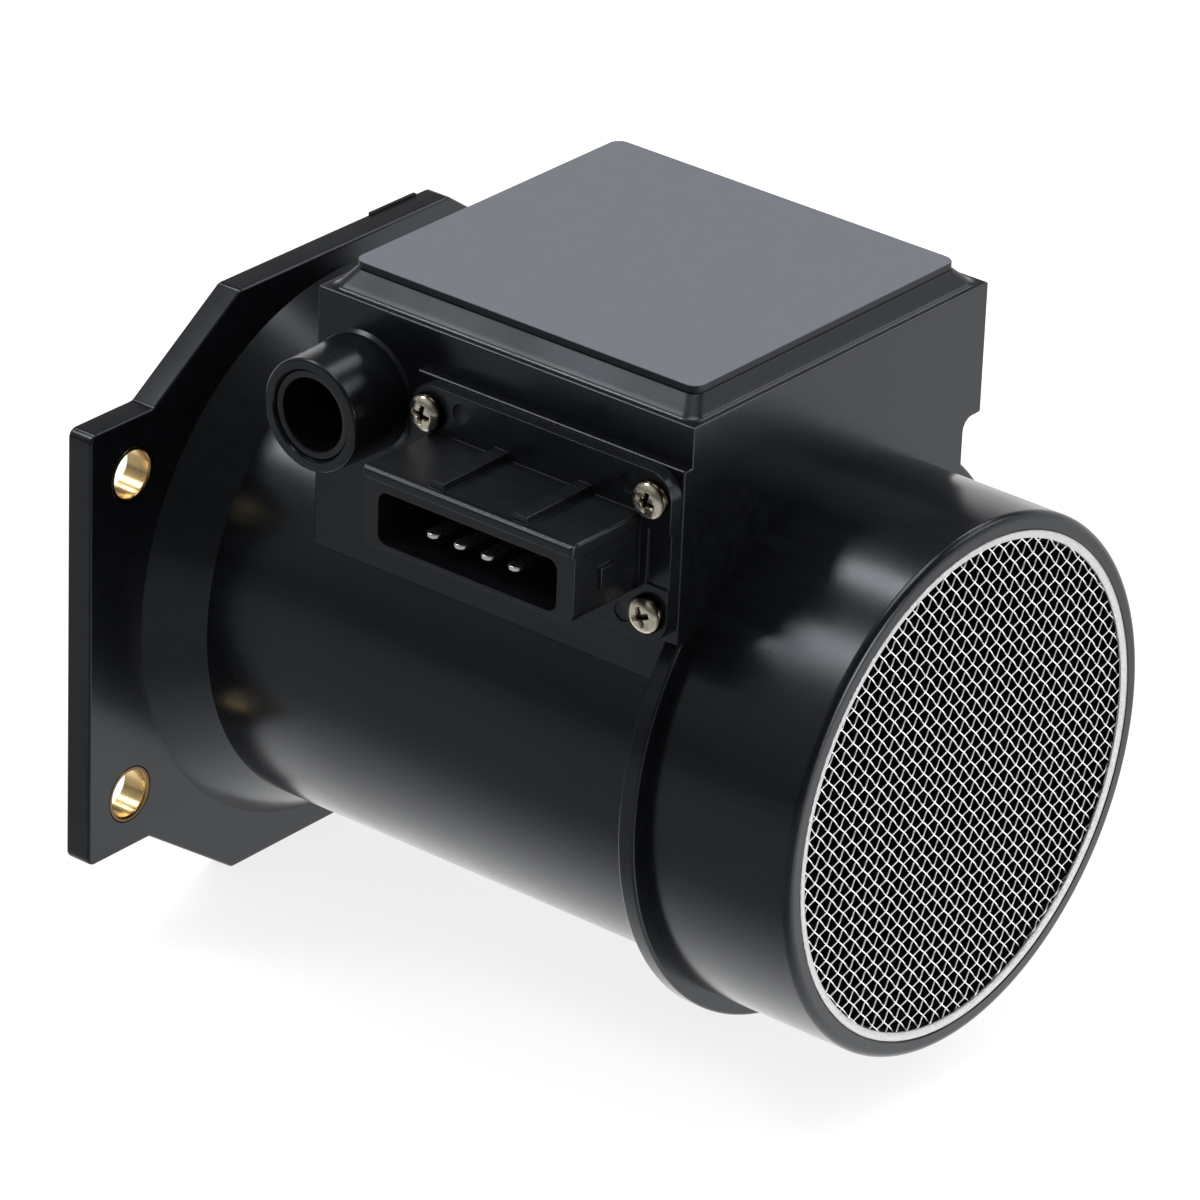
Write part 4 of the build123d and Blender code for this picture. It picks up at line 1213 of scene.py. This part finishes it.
class SENSOR_OT_guard(bpy.types.Operator):
    """Weaves the wire guard at the hose end"""
    bl_idname = "sensor.guard"
    bl_label = "Wire guard"

    def execute(self, context):
        sizes = context.scene.sensor_guard
        low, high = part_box("screen_mesh")
        tree = wire_tree()
        a, b = sizes.wires_a, sizes.wires_b
        families = (("guard_wires_a", a, b, 1), ("guard_wires_b", b, a, -1))
        for name, (pitch, turn), (cross_pitch, cross_turn), side in families:
            obj = link(name, bpy.data.meshes.new(name))
            weave = obj.modifiers.new("wires", "NODES")
            weave.node_group = tree
            set_inputs(
                weave, Pitch=pitch * MM, Turn=math.radians(turn), Cross_pitch=cross_pitch * MM,
                Cross_turn=math.radians(cross_turn), Reach=sizes.reach * MM,
                Wire_radius=sizes.wire_r * MM, Crimp=side * sizes.crimp * MM,
                Plane=(low.x + high.x) / 2, Wires=2 * int(sizes.reach / pitch) + 1,
                Points=int(2 * sizes.reach / cross_pitch * sizes.steps), Sides=sizes.sides,
                Material=finishes()["guard_wire"],
            )
            work_in(obj)
            hand_in(obj, name, "guard_wire", "screen_mesh")
        return {"FINISHED"}


# Studio

FLOOR_DROP = 0.0002
FILL = 0.70
LAMP_AIM = Vector((0.06, 0.0, 0.01))
LAMPS = (
    # Name, azimuth and elevation in degrees, width and height in metres, watts, metres away
    ("overhead_box", 60, 82, 0.50, 0.50, 3.8, 1.1),
    ("left_window", 167, 57, 0.15, 0.22, 1.4, 1.0),
    ("front_left_box", 215, 48, 0.26, 0.28, 2.1, 1.0),
    ("back_box", 99, 46, 0.26, 0.26, 0.9, 1.0),
    ("right_box", 58, 36, 0.45, 0.35, 1.2, 1.0),
    ("screen_box", 9, 7, 0.28, 0.30, 2.7, 1.0),
)


def softbox(name, azimuth, elevation, width, height, watts, distance):
    """A lamp in a direction from the aimed point."""
    light = bpy.data.lights.new(name, "AREA")
    light.shape = "RECTANGLE"
    light.size = width
    light.size_y = height
    light.energy = watts
    obj = link(name, light)
    az = math.radians(azimuth)
    el = math.radians(elevation)
    away = Vector((math.cos(el) * math.cos(az), math.cos(el) * math.sin(az), math.sin(el)))
    obj.location = LAMP_AIM + away * distance
    obj.rotation_euler = (-away).to_track_quat("-Z", "Y").to_euler()


def seen_or_reflected(tree, shown, mirrored, other=0.0):
    """One strength for camera rays, one for reflections and one for all other rays."""
    path = tree.nodes.new("ShaderNodeLightPath").outputs
    bounced = maths(tree, "ADD", path["Is Glossy Ray"], path["Is Transmission Ray"], clamp=True)
    return between(tree, path["Is Camera Ray"], between(tree, bounced, other, mirrored), shown)


def studio_world(fill):
    """A white sweep behind the part and a dim room above and before it, with a gentle fill."""
    world = bpy.data.worlds.new("studio")
    bpy.context.scene.world = world
    world.use_nodes = True
    tree = world.node_tree
    tree.nodes.clear()
    out = tree.nodes.new("ShaderNodeOutputWorld")
    way = result(tree, "ShaderNodeTexCoord", "Generated")
    sides = parts(tree, way)
    behind = ramp(tree, sides[1], -0.2, 0.4, 0.0, 1.0)
    low = ramp(tree, sides[2], 0.15, 0.45, 1.0, 0.0)
    toward_lamp = dot(tree, way, (-0.47, -0.42, 0.776))
    side_light = ramp(tree, toward_lamp, 0.5, 1.0, 0.11, 0.45)
    room = between(tree, maths(tree, "MULTIPLY", behind, low), side_light, 1.0)
    strength = seen_or_reflected(tree, 1.0, room, fill)
    light = result(tree, "ShaderNodeBackground", in_Color=WHITE, in_Strength=strength)
    tree.links.new(light, out.inputs["Surface"])


def floor(level):
    """A pale floor that keeps the part's soft shadow."""
    bm = bmesh.new()
    bmesh.ops.create_grid(bm, x_segments=2, y_segments=2, size=6.0)
    for v in bm.verts:
        v.co.z = level
    obj = mesh_object("floor", bm)
    material = bpy.data.materials.new("floor_paper")
    material.use_nodes = True
    tree = material.node_tree
    inputs = tree.nodes["Principled BSDF"].inputs
    inputs["Base Color"].default_value = (0.35, 0.35, 0.35, 1)
    inputs["Roughness"].default_value = 0.9
    inputs["Specular IOR Level"].default_value = 0.1
    inputs["Emission Color"].default_value = WHITE
    back = parts(tree, result(tree, "ShaderNodeTexCoord", "Object"))[1]
    near = ramp(tree, back, -0.09, -0.02, 0.02, 1.3)
    far = ramp(tree, back, 0.05, 0.14, 1.0, 0.58)
    glow = seen_or_reflected(tree, 0.80, maths(tree, "MULTIPLY", near, far))
    tree.links.new(glow, inputs["Emission Strength"])
    obj.data.materials.append(material)
    obj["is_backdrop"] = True


def set_camera(scene, sizes):
    """The camera at the photograph's viewing angle."""
    az = math.radians(sizes.azimuth)
    el = math.radians(sizes.elevation)
    roll = math.radians(sizes.roll)
    look = Vector((-math.sin(az) * math.cos(el), math.cos(az) * math.cos(el), -math.sin(el)))
    right = look.cross(Vector((0, 0, 1))).normalized()
    up = right.cross(look)
    across = right * math.cos(roll) + up * math.sin(roll)
    upward = up * math.cos(roll) - right * math.sin(roll)
    aim = Vector((sizes.aim[0], 0, sizes.aim[1])) + right * sizes.shift[0] + up * sizes.shift[1]
    lens = bpy.data.cameras.new("camera")
    lens.lens = sizes.lens
    lens.sensor_width = 36.0
    lens.clip_start = 0.05
    lens.clip_end = 30.0
    camera = link("camera", lens)
    turn = Matrix((across, upward, -look)).transposed()
    eye = (aim - look * sizes.distance) * MM
    camera.matrix_world = Matrix.Translation(eye) @ turn.to_4x4()
    scene.camera = camera


class SENSOR_OT_studio(bpy.types.Operator):
    """Sets the camera, the lamps and the floor"""
    bl_idname = "sensor.studio"
    bl_label = "Studio"

    def execute(self, context):
        scene = context.scene
        set_camera(scene, scene.sensor_studio)
        scene.view_settings.view_transform = "Standard"
        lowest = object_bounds()[0][2]
        floor(lowest - FLOOR_DROP)
        studio_world(FILL)
        for lamp in LAMPS:
            softbox(*lamp)
        return {"FINISHED"}


class SENSOR_PT_panel(bpy.types.Panel):
    """Lists the sensor's steps"""
    bl_idname = "SENSOR_PT_panel"
    bl_label = "Airflow sensor"
    bl_space_type = "VIEW_3D"
    bl_region_type = "UI"
    bl_category = "Airflow sensor"

    def draw(self, context):
        for step in STEPS:
            self.layout.operator(step.bl_idname)


STEPS = (
    SENSOR_OT_inner, SENSOR_OT_housing, SENSOR_OT_cover, SENSOR_OT_connector, SENSOR_OT_fasteners,
    SENSOR_OT_blades, SENSOR_OT_rings, SENSOR_OT_guard, SENSOR_OT_studio,
)
SETTINGS = {
    "sensor_housing": HousingSizes, "sensor_connector": ConnectorSizes, "sensor_guard": GuardSizes,
    "sensor_studio": StudioSizes, "sensor_colours": FinishColours,
}
CLASSES = (*SETTINGS.values(), *STEPS, SENSOR_PT_panel)


def register():
    """Registers the settings, the steps and the panel."""
    for item in CLASSES:
        bpy.utils.register_class(item)
    for name, kind in SETTINGS.items():
        setattr(bpy.types.Scene, name, PointerProperty(type=kind))


def unregister():
    """Removes what register added."""
    for name in SETTINGS:
        delattr(bpy.types.Scene, name)
    for item in reversed(CLASSES):
        bpy.utils.unregister_class(item)


def main():
    """Runs every step in order."""
    register()
    bpy.ops.sensor.inner()
    bpy.ops.sensor.housing()
    bpy.ops.sensor.cover()
    bpy.ops.sensor.connector()
    bpy.ops.sensor.fasteners()
    bpy.ops.sensor.blades()
    bpy.ops.sensor.rings()
    bpy.ops.sensor.guard()
    bpy.ops.sensor.studio()
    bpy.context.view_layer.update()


if __name__ == "__main__":
    main()
